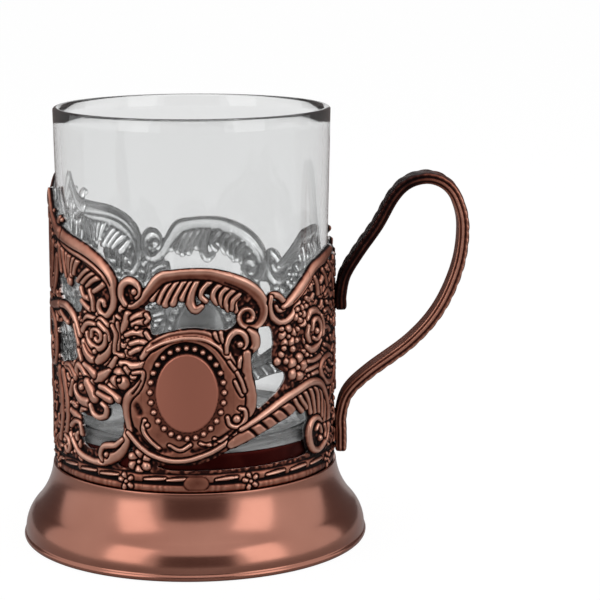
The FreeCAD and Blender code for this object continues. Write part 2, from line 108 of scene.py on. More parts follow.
def figure(tree, operation, *terms, clamp=False):
    """Result of one step of arithmetic on numbers or outputs."""
    return add_node(tree, "Math", dict(enumerate(terms)), operation=operation, use_clamp=clamp).outputs[0]


def blend(tree, share, first, second):
    """Colour that goes from a first to a second as the share goes from 0 to 1."""
    return add_node(tree, "Mix", {0: share, 6: first, 7: second}, data_type="RGBA").outputs[2]


def show(tree, shader, output="OutputMaterial"):
    """Makes a shader the one that the surface or the world shows."""
    add_node(tree, output, {0: shader.outputs[0]})


floor_span = 6.0
floor = sheet("floor", [(-floor_span, -floor_span, 0), (floor_span, -floor_span, 0),
                        (floor_span, floor_span, 0), (-floor_span, floor_span, 0)])
pale_floor, tree = node_material("pale_floor")
ray = add_node(tree, "LightPath").outputs
floor_paint = add_node(tree, "BsdfDiffuse", {"Color": (0.52, 0.52, 0.52, 1)})
floor_glow = add_node(tree, "Emission", {"Color": (1, 1, 1, 1), "Strength": 1.10})
through_glass = figure(tree, "MULTIPLY", ray["Is Transmission Ray"], 0.74)
seen = figure(tree, "ADD", ray["Is Camera Ray"], through_glass, clamp=True)
glow_share = figure(tree, "MULTIPLY", seen, 0.86)
show(tree, add_node(tree, "MixShader", {0: glow_share, 1: floor_paint.outputs[0], 2: floor_glow.outputs[0]}))
floor.data.materials.append(pale_floor)

# Painted reflection: the sheets glow dark (0.17) for reflections seen directly and light (0.9) for
# reflections seen through glass.
reflection_sheet, tree = node_material("reflection_sheet")
through_glass = figure(tree, "GREATER_THAN", add_node(tree, "LightPath").outputs["Transmission Depth"])
painted_reflection_tone = blend(tree, through_glass, (0.17, 0.14, 0.135, 1), (0.9, 0.9, 0.9, 1))
show(tree, add_node(tree, "Emission", {"Color": painted_reflection_tone, "Strength": 1.0}))
reflection_sheets = {
    "reflection_front": [(-0.46, -1.1, -0.05), (0.60, -1.1, -0.05), (0.60, -1.1, 0.7), (-0.46, -1.1, 0.7)],
    "reflection_left": [(-0.95, 0.45, -0.05), (-0.17, 1.1, -0.05), (-0.17, 1.1, 0.8), (-0.95, 0.45, 0.8)],
    "reflection_right": [(0.95, 0.45, -0.05), (0.17, 1.1, -0.05), (0.17, 1.1, 0.8), (0.95, 0.45, 0.8)],
    "floor_reflection_left": [(-0.9, 0.06, 0.0005), (-0.11, 0.10, 0.0005), (-0.07, 0.9, 0.0005), (-0.9, 0.9, 0.0005)],
    "floor_reflection_right": [(0.11, 0.10, 0.0005), (0.9, 0.06, 0.0005), (0.9, 0.9, 0.0005), (0.07, 0.9, 0.0005)],
}
# The sheets show only in reflections: camera, transmission, diffuse light and shadows pass them by.
for name, corners in reflection_sheets.items():
    reflector = sheet(name, corners)
    reflector.visible_camera = reflector.visible_transmission = False
    reflector.visible_diffuse = reflector.visible_shadow = False
    reflector.data.materials.append(reflection_sheet)

world = bpy.data.worlds.new("surroundings")
world.use_nodes = True
bpy.context.scene.world = world
tree = world.node_tree
tree.nodes.clear()
ray = add_node(tree, "LightPath").outputs
camera_or_gloss = figure(tree, "ADD", ray["Is Camera Ray"], ray["Is Glossy Ray"])
seen = figure(tree, "ADD", camera_or_gloss, ray["Is Transmission Ray"], clamp=True)
ambient = add_node(tree, "Background", {"Color": (0.62, 0.62, 0.62, 1), "Strength": 1.0})
white = add_node(tree, "Background", {"Color": (1, 1, 1, 1), "Strength": 1.0})
show(tree, add_node(tree, "MixShader", {0: seen, 1: ambient.outputs[0], 2: white.outputs[0]}), "OutputWorld")


# ---------------------------------------------------------------- foot
# Bell spun from sheet brass on a lathe and plated copper: rolled rim, full bulge, concave neck.
# It is polished round the axis, so fine rings run round it and stretch its reflections.

MM = 0.001


def add_mesh(name, points, faces):
    """Smooth mesh object from an array of points and an array of four-cornered faces."""
    mesh = bpy.data.meshes.new(name)
    mesh.vertices.add(len(points))
    mesh.vertices.foreach_set("co", np.ascontiguousarray(points, np.float32).ravel())
    mesh.loops.add(faces.size)
    mesh.loops.foreach_set("vertex_index", np.ascontiguousarray(faces, np.int32).ravel())
    mesh.polygons.add(len(faces))
    mesh.polygons.foreach_set("loop_start", np.arange(0, faces.size, 4, dtype=np.int32))
    mesh.polygons.foreach_set("use_smooth", np.ones(len(faces), bool))
    mesh.update(calc_edges=True)
    mesh.validate()
    return add_object(name, mesh)


def grid_faces(rows, columns, close_rows=False, close_columns=False):
    """Four-cornered faces of a grid of points, row by row; a closed side joins its last to its first."""
    row = np.arange(rows if close_rows else rows - 1)
    column = np.arange(columns if close_columns else columns - 1)
    i, j = np.meshgrid(row, column, indexing="ij")
    up, along = (i + 1) % rows, (j + 1) % columns
    return np.stack([i * columns + j, i * columns + along, up * columns + along, up * columns + j],
                    axis=-1).reshape(-1, 4)


def arc(start, end, radius, side, count=10):
    """Points of a circular arc between two places, bulging to the right for side 1; the end is left out.

    The centre lies on the chord's perpendicular at the distance that the radius asks for.
    """
    start, end = np.array(start, float), np.array(end, float)
    half = (end - start) / 2
    length = np.hypot(*half)
    across = np.array([-half[1], half[0]]) / length
    centre = start + half + across * side * np.sqrt(radius ** 2 - length ** 2)
    a, b = (np.arctan2(*(p - centre)[::-1]) for p in (start, end))
    turn = (b - a + np.pi) % (2 * np.pi) - np.pi
    angles = a + turn * np.linspace(0, 1, count, endpoint=False)
    return [tuple(centre + radius * np.array([np.cos(t), np.sin(t)])) for t in angles]


def lathe(name, profile):
    """Closed surface of revolution about +Z.

    Each profile point (distance, height) is turned through equal steps of the full circle.
    """
    sides = 256
    distance, height = np.array(profile, float).T * MM
    turn = np.linspace(0, 2 * np.pi, sides, endpoint=False)
    points = np.stack([np.outer(distance, np.cos(turn)), np.outer(distance, np.sin(turn)),
                       np.repeat(height[:, None], sides, axis=1)], axis=-1)
    return add_mesh(name, points.reshape(-1, 3), grid_faces(len(profile), sides, True, True))


def band(start, end, count=8):
    """Points of a straight stretch between two places; the end is left out."""
    steps = np.linspace(0, 1, count, endpoint=False)[:, None]
    return [tuple(p) for p in np.array(start, float) + (np.array(end, float) - start) * steps]


def ramp(tree, feed, *stops):
    """Colour read off a row of stops, each a position and a colour."""
    node = add_node(tree, "ValToRGB", {0: feed})
    elements = node.color_ramp.elements
    for element, (position, colour) in zip(elements, (stops[0], stops[-1])):
        element.position, element.color = position, (*colour, 1)
    for position, colour in stops[1:-1]:
        elements.new(position).color = (*colour, 1)
    return node.outputs[0]


def span(tree, feed, start=0.0, end=1.0, low=0.0, high=1.0):
    """Number carried over from one range to another and held at its ends."""
    return add_node(tree, "MapRange", {"Value": feed, "From Min": start, "From Max": end,
                                       "To Min": low, "To Max": high}).outputs[0]


def clouds(tree, place, scale, detail, distortion=0.0, stretch=None):
    """Soft random pattern over a place, which may be stretched first."""
    if stretch:
        place = add_node(tree, "Mapping", {"Vector": place, "Scale": stretch}).outputs[0]
    return add_node(tree, "TexNoise", {"Vector": place, "Scale": scale, "Detail": detail,
                                       "Distortion": distortion}).outputs["Fac"]


foot_radius, foot_bead, foot_wall, foot_height = 44.6, 0.9, 1.0, 20.0
waist, waist_height, bulge, neck = 41.3, 9.0, 10.0, 19.5
foot_top, ledge = 36.7, 32.5
bead_edge = foot_radius - foot_bead / 2
bead_top = foot_bead * (1 + np.sqrt(0.75))
foot_profile = (
    band((foot_radius - foot_bead - foot_wall, 0), (foot_radius - foot_bead, 0), 2)
    + arc((foot_radius - foot_bead, 0), (bead_edge, bead_top), foot_bead, 1, 12)
    + arc((bead_edge, bead_top), (waist, waist_height), bulge, 1, 20)
    + arc((waist, waist_height), (foot_top, foot_height - 0.25), neck, -1, 24)
    + arc((foot_top, foot_height - 0.25), (foot_top - 0.25, foot_height), 0.26, 1, 4)
    + band((foot_top - 0.25, foot_height), (ledge, foot_height), 3)
    + band((ledge, foot_height), (ledge, foot_height - foot_wall), 2)
    + band((ledge, foot_height - foot_wall), (foot_top - foot_wall, foot_height - foot_wall), 3)
    + arc((foot_top - foot_wall, foot_height - foot_wall),
          (waist - foot_wall * 0.74, waist_height - foot_wall * 0.67), neck + foot_wall, 1, 14)
    + arc((waist - foot_wall * 0.74, waist_height - foot_wall * 0.67),
          (bead_edge - foot_wall, bead_top), bulge - foot_wall, -1, 12)
    + band((bead_edge - foot_wall, bead_top), (foot_radius - foot_bead - foot_wall, 0), 3))
foot = lathe("foot_bell", foot_profile)

satin_copper, tree = node_material("satin_copper")
place = add_node(tree, "TexCoord").outputs["Object"]
rings = clouds(tree, place, 1.0, 3.0, stretch=(30, 30, 9000))
cast = clouds(tree, place, 45.0, 4.0)
tint = ramp(tree, cast, (0.30, (0.33, 0.141, 0.101)), (0.72, (0.40, 0.181, 0.133)))
bump = add_node(tree, "Bump", {"Strength": 0.03, "Distance": 0.0001, "Height": rings}).outputs[0]
show(tree, add_node(tree, "BsdfPrincipled", {"Base Color": tint, "Metallic": 1.0, "Normal": bump,
                                             "Roughness": span(tree, rings, 0.3, 0.7, 0.17, 0.22)}))
foot.data.materials.append(satin_copper)
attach(foot, "root")
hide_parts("foot")


# ---------------------------------------------------------------- tray
# Shallow dish pressed from sheet, which the glass stands on. Outside it is left in dark unpolished
# patina, inside it is plated light, and only its rim shows behind the sleeve.

tray_radius, tray_low, tray_high, tray_wall = 34.9, 24.2, 29.5, 0.8
tray_inner = tray_radius - tray_wall
tray = lathe("tray_dish", band((0.02, tray_low), (tray_radius - 0.6, tray_low), 6)
             + arc((tray_radius - 0.6, tray_low), (tray_radius, tray_low + 0.6), 0.61, 1, 5)
             + band((tray_radius, tray_low + 0.6), (tray_radius, tray_high - 0.4), 6)
             + arc((tray_radius, tray_high - 0.4), (tray_inner, tray_high - 0.4), 0.41, 1, 8)
             + band((tray_inner, tray_high - 0.4), (tray_inner, tray_low + tray_wall), 6)
             + band((tray_inner, tray_low + tray_wall), (0.02, tray_low + tray_wall), 6))

dark_copper, tree = node_material("dark_copper")
place = add_node(tree, "TexCoord").outputs["Object"]
stain = clouds(tree, place, 160.0, 5.0)
tint = ramp(tree, stain, (0.35, (0.030, 0.0035, 0.003)), (0.75, (0.060, 0.009, 0.007)))
apart = add_node(tree, "SeparateXYZ", {0: place}).outputs
from_axis = figure(tree, "ADD", *(figure(tree, "MULTIPLY", apart[axis], apart[axis]) for axis in "XY"))
within = span(tree, from_axis, (tray_inner * MM + 0.0003) ** 2, (tray_inner * MM) ** 2)
plated = blend(tree, within, tint, (0.92, 0.92, 0.92, 1))
show(tree, add_node(tree, "BsdfPrincipled", {"Base Color": plated, "Roughness": 0.42,
                                             "Metallic": span(tree, within, low=1.0, high=0.2)}))
tray.data.materials.append(dark_copper)
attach(tray, "root")
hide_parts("tray")


# ---------------------------------------------------------------- sleeve
# Openwork band cast flat, rolled to a tube and soldered: ornament over a thin ground with open windows,
# plated copper, darkened, and polished bright on its high spots. Its colour also holds painted shade in the
# hollows and on the slopes of the relief, and painted highlights on its crests. The front half runs from the
# crest at -90 degrees over the medallion at 0 to the handle at 90, and the back half is its mirror image.

bore, ground, barrel = 35.06, 35.75, 36.3
sleeve_low, sleeve_high = 20.0, 91.5
pitch = 0.19                                      # mm between neighbouring points of the relief
turned = 3.0                                      # degrees that the drawing is turned towards the handle
degree = np.radians(1) * barrel
half_width = 90 * degree
across = np.linspace(-half_width, half_width, int(2 * half_width / pitch) + 1)
upward = np.linspace(sleeve_low, sleeve_high, int((sleeve_high - sleeve_low) / pitch) + 1)
rise = np.zeros((len(upward), len(across)))       # height of the relief over the ground, mm
metal = np.full_like(rise, -9.0)                  # depth inside the metal, mm; below nothing it is open
fullness = 0.13                                   # mm that casting adds all round a strap
reach = 1.2                                       # mm round a form in which it shapes the metal


def smooth_curve(places):
    """Catmull-Rom curve through rows of numbers, with eight steps from one row to the next."""
    p = np.array(places, float)
    p = np.vstack([2 * p[0] - p[1], p, 2 * p[-1] - p[-2]])
    t = np.linspace(0, 1, 8, endpoint=False)[:, None]
    spans = [0.5 * (2 * p[k] + (p[k + 1] - p[k - 1]) * t
                    + (2 * p[k - 1] - 5 * p[k] + 4 * p[k + 1] - p[k + 2]) * t ** 2
                    + (3 * p[k] - p[k - 1] - 3 * p[k + 1] + p[k + 2]) * t ** 3)
             for k in range(1, len(p) - 2)]
    return np.vstack(spans + [p[-2:-1]])


def smooth_line(places):
    """Smooth curve through places of the unrolled drawing, in mm.

    A place holds its azimuth in degrees and its height in mm, and may hold a width as a third number.
    """
    p = np.array(places, float)
    p[:, 0] = (p[:, 0] + turned) * degree
    return smooth_curve(p)


def even(line, step=0.15):
    """The same line with its points at an even distance."""
    length = np.concatenate([[0], np.cumsum(np.hypot(*np.diff(line[:, :2], axis=0).T))])
    places = np.linspace(0, length[-1], max(int(length[-1] / step), 5))
    return np.stack([np.interp(places, length, column) for column in line.T], axis=1)


def window(low, high):
    """Slices of the drawing's grid that cover a box."""
    columns = slice(*np.searchsorted(across, (low[0], high[0])))
    rows = slice(*np.searchsorted(upward, (low[1], high[1])))
    return rows, columns


cross_sections = {
    # height over a strap's width; x runs from -1 to 1
    "round": lambda x: np.clip(1 - x ** 2, 0, 1) ** 0.55,
    "flat": lambda x: np.clip(1 - x ** 6, 0, 1) ** 0.7,
    "vein": lambda x: np.clip(1 - x ** 2, 0, 1) ** 0.55 * (1 - 0.55 * np.exp(-(x / 0.16) ** 2)),
    "lip": lambda x: np.clip(1 - x ** 4, 0, 1) ** 0.6 * (0.50 + 0.50 / (1 + np.exp(-7 * x))),
}


def nearest_on(line, half):
    """Grid slices round a line, and for each of their points the distance to it and the nearest place."""
    margin = np.max(half) + reach
    rows, columns = window(line.min(0) - margin, line.max(0) + margin)
    x, z = np.meshgrid(across[columns], upward[rows])
    best, nearest = np.full(x.shape, 1e9), np.zeros(x.shape, int)
    for k in range(len(line)):
        beyond = np.hypot(x - line[k, 0], z - line[k, 1]) - half[k]
        closer = beyond < best
        best[closer] = beyond[closer]
        nearest[closer] = k
    return rows, columns, x, z, best + half[nearest], nearest


def lay(rows, columns, form, depth, trench=0.24):
    """Puts a form into the relief: a trench is cut round it, and inside it only the form stays."""
    old = rise[rows, columns]
    clear = np.clip((depth + trench) / 0.12, 0, 1)
    rise[rows, columns] = np.where(depth > 0, np.maximum(form, old * (1 - clear)), old * (1 - 0.9 * clear))
    metal[rows, columns] = np.maximum(metal[rows, columns], depth + 0.12)


def strap(places, height=1.0, section="round", trench=0.24):
    """Raised strap along a smooth line; each of its places has a width as its third number.

    At each grid point the distance to the line, divided by the half width there, goes into the
    section's curve. Height is one number or a list that is blended along the line.
    """
    line = even(smooth_line(places))
    share = np.linspace(0, 1, len(line))
    heights = np.interp(share, np.linspace(0, 1, np.size(height)), np.atleast_1d(height).astype(float))
    half = line[:, 2] / 2 + fullness
    rows, columns, x, z, distance, nearest = nearest_on(line[:, :2], half)
    if x.size == 0:
        return
    along = np.gradient(line[:, :2], axis=0)
    side = np.sign(along[nearest, 0] * (z - line[nearest, 1]) - along[nearest, 1] * (x - line[nearest, 0]))
    form = heights[nearest] * cross_sections[section](np.clip(side * distance / half[nearest], -1, 1))
    lay(rows, columns, form, half[nearest] - distance, trench)


def groove(places, depth=0.75, width=0.5):
    """Engraved line: the relief sinks along it by a share, most in the middle of its width."""
    line = even(smooth_line(places))[:, :2]
    rows, columns, x, z, distance, nearest = nearest_on(line, np.full(len(line), width / 2))
    if x.size:
        rise[rows, columns] *= 1 - depth * np.exp(-(distance / (width * 0.55)) ** 2)


def strokes(lines, first=1.1, last=1.6, height=1.0, section="round", trench=0.24):
    """Several straps that all widen, or narrow, from a first to a last width."""
    for places in lines:
        widths = np.linspace(first, last, len(places))
        strap([tuple(place) + (w,) for place, w in zip(places, widths)], height, section, trench)


def fan(first, last, count, widths, height):
    """Row of strokes blended evenly between a first and a last one."""
    strokes([np.array(first) * (1 - share) + np.array(last) * share for share in np.linspace(0, 1, count)],
            *widths, height)


def ball(centre, radius, height=1.0, trench=0.25, turn=True):
    """Round boss: its height falls as the root of one minus the distance squared."""
    place = np.array([(centre[0] + turned * turn) * degree, centre[1]])
    rows, columns = window(place - radius - reach, place + radius + reach)
    x, z = np.meshgrid(across[columns] - place[0], upward[rows] - place[1])
    distance = np.hypot(x, z)
    form = height * np.clip(1 - (distance / radius) ** 2, 0, 1) ** 0.5
    lay(rows, columns, form, radius - distance, trench)


def depth_inside(places, rows, columns):
    """Distance to a smooth closed line, counted as positive inside it."""
    line = even(smooth_line(list(places) + [places[0]]), 0.4)[:, :2]
    x, z = np.meshgrid(across[columns], upward[rows])
    distance, inside = np.full(x.shape, 1e9), np.zeros(x.shape, bool)
    for (x0, z0), (x1, z1) in zip(line[:-1], line[1:]):
        distance = np.minimum(distance, np.hypot(x - (x0 + x1) / 2, z - (z0 + z1) / 2))
        if z0 != z1:
            inside ^= ((z0 > z) != (z1 > z)) & (x < (x1 - x0) * (z - z0) / (z1 - z0) + x0)
    return distance * np.where(inside, 1, -1)


def box_round(places):
    """Slices of the grid round a list of places."""
    line = np.array(places, float)[:, :2]
    line[:, 0] = (line[:, 0] + turned) * degree
    return window(line.min(0) - reach - 1, line.max(0) + reach + 1)


def field(places, height):
    """Plain raised field inside a smooth closed line, with a rounded edge."""
    rows, columns = box_round(places)
    depth = depth_inside(places, rows, columns)
    lay(rows, columns, height * np.clip(depth / 0.35, 0, 1) ** 0.6, depth, 0)


def opening(places):
    """Window sawn out of the ground."""
    rows, columns = box_round(places)
    metal[rows, columns] = np.minimum(metal[rows, columns], -depth_inside(places, rows, columns))


def polar(centre, radius, angle):
    """Place at a distance in mm and an angle from another; 0 points towards the handle, 90 up."""
    turn = np.radians(angle)
    return (centre[0] + radius * np.cos(turn) / degree, centre[1] + radius * np.sin(turn))


def flower(centre, radius, petals=5, start=90, height=1.0, core=0.3):
    """Ring of round petals about a bright stud."""
    size = radius * np.sin(np.pi / petals)
    for angle in start + 360 / petals * np.arange(petals):
        strap([polar(centre, radius * 0.30, angle) + (size * 0.8,),
               polar(centre, radius - size * 0.62, angle) + (size * 1.45,)],
              [height * 0.6, height], trench=0.25)
    ball(centre, radius * core * 0.8, height * 1.05, trench=0.4)


def foliage(low, high, spacing, length, width, seed, lean=(-60, 60)):
    """Small curled leaves, scattered over a box of the drawing at a spacing, each leaning its own way."""
    chance = np.random.default_rng(seed)
    for height in np.arange(low[1], high[1], spacing):
        for azimuth in np.arange(low[0], high[0], spacing / degree * 1.25):
            shift = chance.uniform(-0.45, 0.45, 2) * (spacing / degree, spacing)
            place = np.array([azimuth, height]) + shift
            angle = chance.uniform(*lean)
            size = length * chance.uniform(0.75, 1.2)
            bend = chance.choice([-1, 1]) * 0.3 * size
            tip = polar(place, size, angle)
            middle = polar(polar(place, size / 2, angle), bend, angle + 90)
            strap([tuple(place) + (width * 0.7,), middle + (width * chance.uniform(0.9, 1.2),),
                   tip + (width * 0.6,)], chance.uniform(0.75, 1.05), chance.choice(["round", "vein"]))


# Ground: everything under the upper edge, less the windows.
edge_line = even(smooth_line([(-95, 84.4), (-86, 87.6), (-83, 89.6), (-80, 90.8), (-77, 88), (-73, 84),
                              (-69, 81), (-65, 80), (-58, 78.6), (-50, 78.4), (-40, 76), (-34, 71.6),
                              (-29.6, 67.5), (-26, 70.6), (-21, 70.4), (-17, 71.6), (-10, 73.6),
                              (0, 74.4), (12, 73.2), (22, 70.4), (29, 66.4), (33, 66.6), (38, 64.8),
                              (45, 68.2), (52, 71.8), (60, 73.8), (69, 75.8), (73, 72), (80, 68.6),
                              (94, 67.6)]))
under_edge = np.interp(across, *edge_line[:, :2].T)[None, :] - upward[:, None]
metal = np.minimum(under_edge, upward[:, None] - sleeve_low + 1)
rise += 0.10
foliage((-96, 25), (-64, 86), 2.6, 3.0, 1.5, 5, (-120, 120))
foliage((48, 45), (88, 74), 2.5, 2.8, 1.4, 11, (-50, 50))
foliage((70, 25), (88, 46), 2.6, 3.0, 1.5, 12, (30, 150))
foliage((-62, 25.4), (-52, 50), 2.4, 2.4, 1.3, 13, (0, 180))
foliage((-50, 42), (-26, 62), 2.4, 2.2, 1.2, 14, (0, 180))
foliage((-30, 56), (-17, 66), 2.2, 2.0, 1.1, 15, (-40, 60))
opening([(-19.5, 66), (-16, 67.6), (-10, 69), (-4, 69.6), (2, 69.4), (10, 69), (15.6, 67), (17.4, 64.2),
         (16, 61.6), (12, 60.4), (5, 60.8), (0, 61.2), (-6, 60.8), (-12, 59.8), (-16.4, 59.4),
         (-17.2, 62)])
opening([(-69.5, 74), (-64, 75), (-57, 73), (-51.5, 70.6), (-49.6, 66), (-51.6, 62.8), (-58, 63.2),
         (-65, 65.4), (-68.6, 69.6)])
opening([(-68, 58.6), (-61, 59.2), (-54.6, 56.4), (-53.4, 51.4), (-58.6, 49.8), (-67, 49), (-69, 53)])
opening([(-52.4, 37.8), (-46, 37), (-40, 37.8), (-36, 41), (-30.6, 41.4), (-28.8, 37), (-30.8, 32.6),
         (-38, 31), (-44, 28.8), (-50, 29.4), (-53, 33)])
opening([(26, 60.4), (24.6, 56), (22.6, 51.5), (24.6, 46), (24.8, 40.4), (30, 41.8), (37, 45.2),
         (38.4, 48), (33.2, 50.2), (32, 53), (32.6, 57), (31, 60.2)])
opening([(-16, 26.5), (-11, 27), (-1, 27), (8, 28.8), (22, 33.3), (34, 36.4), (45, 38), (51, 36.8),
         (52.4, 31), (52, 26.4), (32, 25.7), (12, 25.6), (-8, 25.6)])
opening([(-83, 58.5), (-77, 57), (-76, 53), (-80, 50.5), (-85, 52), (-86, 56)])
opening([(-33.6, 27.2), (-29, 28.9), (-25.5, 31.2), (-24.9, 28.8), (-26, 25.7), (-31, 25.6)])

# Left arch: a broad grooved band that rolls into a volute, feathers hanging from it.
strokes([[(-58.6, 77), (-58.4, 73), (-57.5, 69.9)]], 3.4, 2.2, 1.0, "vein")
strokes([[(-63.5, 78), (-61.8, 74.4), (-60, 71)], [(-66.5, 79), (-65.5, 75), (-64.4, 72)]], 2.4, 1.3, 0.95)
strokes([[(-53.5, 76.5), (-55.2, 74.4), (-56, 71.6)], [(-51, 76), (-52.9, 74.4), (-54.2, 72.2)]],
        1.7, 1.1, 0.95)
strokes([[(-43.5, 74.4), (-47.6, 72.9), (-51.7, 70.7)], [(-40.6, 73.5), (-45.4, 72), (-49.3, 70)],
         [(-38.4, 72.6), (-42.8, 71.3), (-45.9, 69.7)], [(-36, 71.4), (-39, 69.9), (-43, 68.4)]],
        1.6, 1.15, 1.0)
strokes([[(-49.5, 69), (-48, 67.1), (-45.5, 66.8), (-43, 66.3)],
         [(-49.3, 65.8), (-46.5, 64.6), (-44.4, 64)], [(-44.4, 68.6), (-43, 66.5), (-42.6, 64.2)]],
        1.5, 1.3, 0.95)
strap([(-67.4, 81.4, 3.6), (-60, 79.8, 4.3), (-50, 78.2, 4.6), (-45, 77, 4.6), (-40, 75.4, 4.4),
       (-36, 73.5, 3.8), (-33.6, 71.8, 3.2), (-32.5, 69.6, 2.5), (-32.2, 67.3, 2.0), (-33.3, 64.9, 1.8),
       (-35.5, 63.3, 1.6), (-38, 63.4, 1.6), (-39.6, 65, 1.4), (-38.9, 66.6, 1.2), (-37.2, 66.6, 1.1),
       (-36.5, 65.5, 0.9)], 1.15)
groove([(-66, 79.6), (-60, 78.9), (-54, 78.1), (-50, 77.6), (-45, 76.6), (-40, 75), (-36, 73),
        (-33.8, 70.8)], 0.8, 0.55)
groove([(-58, 76.9), (-50, 76), (-43, 74.6), (-38, 72.6)], 0.5, 0.4)

# Front arch: band with hanging feathers between two volutes.
strokes([[(-12, 72.6), (-14.4, 70.4), (-16.2, 68.2)], [(-8.6, 72.6), (-11.4, 70), (-13, 67.6)],
         [(-6, 72.6), (-9, 69.8), (-11, 66.9)], [(-3.4, 72.8), (-6.1, 69.8), (-8, 67.2)],
         [(-0.6, 72.8), (-2.8, 70.4), (-4.4, 68.4)]], 1.25, 1.7, 0.95)
strap([(1.4, 72.8, 1.2), (-0.6, 70, 1.8), (-1.3, 67.4, 2.2), (0.4, 65.6, 1.9), (3, 66.4, 1.2)], 1.05)
strokes([[(7.4, 72.9), (3.8, 71), (2.7, 69), (4.4, 67.8)],
         [(11.2, 72.2), (8, 70.4), (7.4, 68.6), (8.8, 67.2)],
         [(14.2, 71.4), (10.8, 69.7), (10.2, 67.8), (11.6, 66.4)],
         [(16.6, 70.6), (13.1, 68.8), (12.2, 67), (13.2, 65.5)],
         [(18.8, 69.4), (15.3, 67.7), (14.7, 65.6)], [(20.6, 68.2), (17.3, 66.8), (16.8, 64.9)]],
        1.1, 1.35, 0.95)
strap([(19.5, 64.8, 1.8), (18.6, 66.6, 1.8), (20.6, 68.2, 2.2), (23.6, 67.2, 2.4)], 0.1)
strap([(-29, 68.4, 1.5), (-27.2, 66.3, 1.4), (-24, 65.9, 1.3), (-20.5, 67.5, 1.7), (-17, 70.2, 2.4),
       (-12.8, 73.1, 2.9), (-7.6, 73.9, 2.5), (-3.3, 74.2, 2.5), (1.9, 74.25, 2.6), (7.1, 74, 2.7),
       (12.4, 73, 3.2), (17.1, 71.9, 3.4), (20.9, 70.7, 3.4), (24.2, 69.2, 3.2), (27, 67.2, 2.8),
       (28.1, 65, 2.2), (27, 62.4, 1.8), (24.6, 60.9, 1.4), (21.2, 60.7, 1.3), (18.4, 61.8, 1.3),
       (17.7, 63.6, 1.2), (19.1, 65, 1.15), (21.5, 65.1, 1.1), (23.1, 63.9, 1), (22.6, 62.6, 0.9),
       (21, 62.4, 0.8)], [1.2, 1.2, 1.2, 1.0, 0.95, 1.0, 1.2, 1.25, 1.2, 1.2, 1.2], "lip")
groove([(12, 72), (17, 70.6), (21, 69), (24.6, 66.6)], 0.6, 0.45)
strap([(-27.2, 66.4, 1.3), (-29, 68.3, 1.6), (-28.7, 70.7, 1.9), (-26.3, 72.1, 2.0), (-23.6, 72, 1.7),
       (-21.6, 70.8, 1.3), (-21.2, 69.2, 1.0), (-22.4, 68.2, 0.8)], 1.2)
ball((-23.3, 69.7), 0.95, 1.15)

# Leaves and berries under the outer volute, beside the first window.
strokes([[(-26.2, 64), (-27.2, 62), (-28.7, 59.8)], [(-24, 62.9), (-21.4, 64), (-18.6, 64.2)]],
        2.0, 1.7, 1.0)
strokes([[(-24, 61.6), (-21.5, 62.3), (-18.8, 62.4)], [(-27, 58.9), (-23.6, 59.7), (-20, 59.5)],
         [(-25, 56.8), (-21.4, 57.5), (-17.8, 56.9)], [(-25.2, 54.5), (-22, 55.6), (-18.8, 55.6)]],
        1.3, 1.8, 1.0)
strokes([[(-18.6, 64.2), (-17.6, 63.2), (-18.8, 62.3)], [(-18.8, 59.7), (-17.6, 58.6), (-16.3, 57.7)],
         [(-30.8, 61.6), (-30.4, 58.4), (-30.8, 55)]], 1.1, 0.9, 0.9)
strap([(-29.4, 51.8, 1.6), (-27.2, 51.5, 2.3), (-24.6, 51.3, 2.1), (-20.4, 51.9, 1.8), (-16.7, 53.6, 1.5),
       (-13.6, 55.6, 1.1)], 1.1)
ball((-22.6, 60.9), 0.6, 0.9)

# Rose: two layers of cupped petals about a spiral heart, with two broad lower petals.
ball((-41.3, 57), 5.6, 0.75)
strap([(-48.4, 55.8, 1.6), (-47, 53.6, 3.0), (-44.6, 52, 3.0), (-42.4, 51.6, 1.4)], 1.1)
strap([(-33.6, 56.8, 1.1), (-35.4, 54.6, 2.4), (-38, 52.9, 3.0), (-40.6, 51.4, 1.9)], 1.15)
groove([(-47.6, 55.2), (-45.4, 53.4), (-43, 52.6)], 0.5, 0.4)
groove([(-34.4, 56), (-36.6, 54.4), (-39, 53.4)], 0.5, 0.4)
strokes([[(-47.9, 60.5), (-45.9, 62.2), (-42, 61.9)], [(-41, 61), (-38.3, 62.2), (-35.2, 60.8)]],
        1.5, 1.3, 1.1)
strokes([[(-49, 58.4), (-46.4, 60.3), (-43.4, 60.7), (-40.6, 60.1)],
         [(-39.4, 60.9), (-36.2, 59.3), (-35.2, 57.2)]], 1.6, 1.4, 1.15)
strap([(-46, 58.2, 1.0), (-44.8, 56, 1.6), (-42, 54.8, 1.8), (-39.2, 54.8, 1.8), (-36.9, 56, 1.6),
       (-36.4, 58.2, 1.0)], 1.2)
strap([(-43.4, 57.4, 0.9), (-43, 59, 1.0), (-41.2, 59.4, 1.0), (-39, 58.8, 1.0), (-38.4, 57.3, 1.0),
       (-40, 56.4, 0.9), (-41.4, 57.2, 0.8)], 1.3)
ball((-41.9, 53.8), 0.85, 1.3)
strokes([[(-51.8, 53.2), (-50, 50.8)], [(-52.6, 56.4), (-50.6, 54.4)]], 1.5, 1.2, 1.0)

# Stem, leaves and small flowers between the rose and the cartouche.
strap([(-33.3, 60.8, 1.1), (-31.6, 58.8, 1.3), (-32.2, 56, 1.2), (-32, 54, 1.2), (-28.6, 53.7, 1.3)], 0.95)
strokes([[(-31.7, 52.9), (-33, 51.6), (-34.6, 50)]], 1.2, 2.0, 1.05)
strap([(-34.8, 49.6, 1.1), (-37.4, 48.4, 2.3), (-40.2, 47.3, 2.8), (-41.8, 46.7, 1.6)], 1.15)
strap([(-48.5, 49.9, 1.3), (-45.6, 49.2, 1.9), (-42.8, 47.9, 2.3)], 1.05)
flower((-30.5, 47.5), 2.9, 3, 90, 1.05, 0.28)
strokes([[(-34.8, 45.8), (-33, 45)], [(-33.2, 44.2), (-31.4, 43.5)], [(-27.4, 50.6), (-25.8, 49.4)]],
        1.5, 1.3, 1.0)

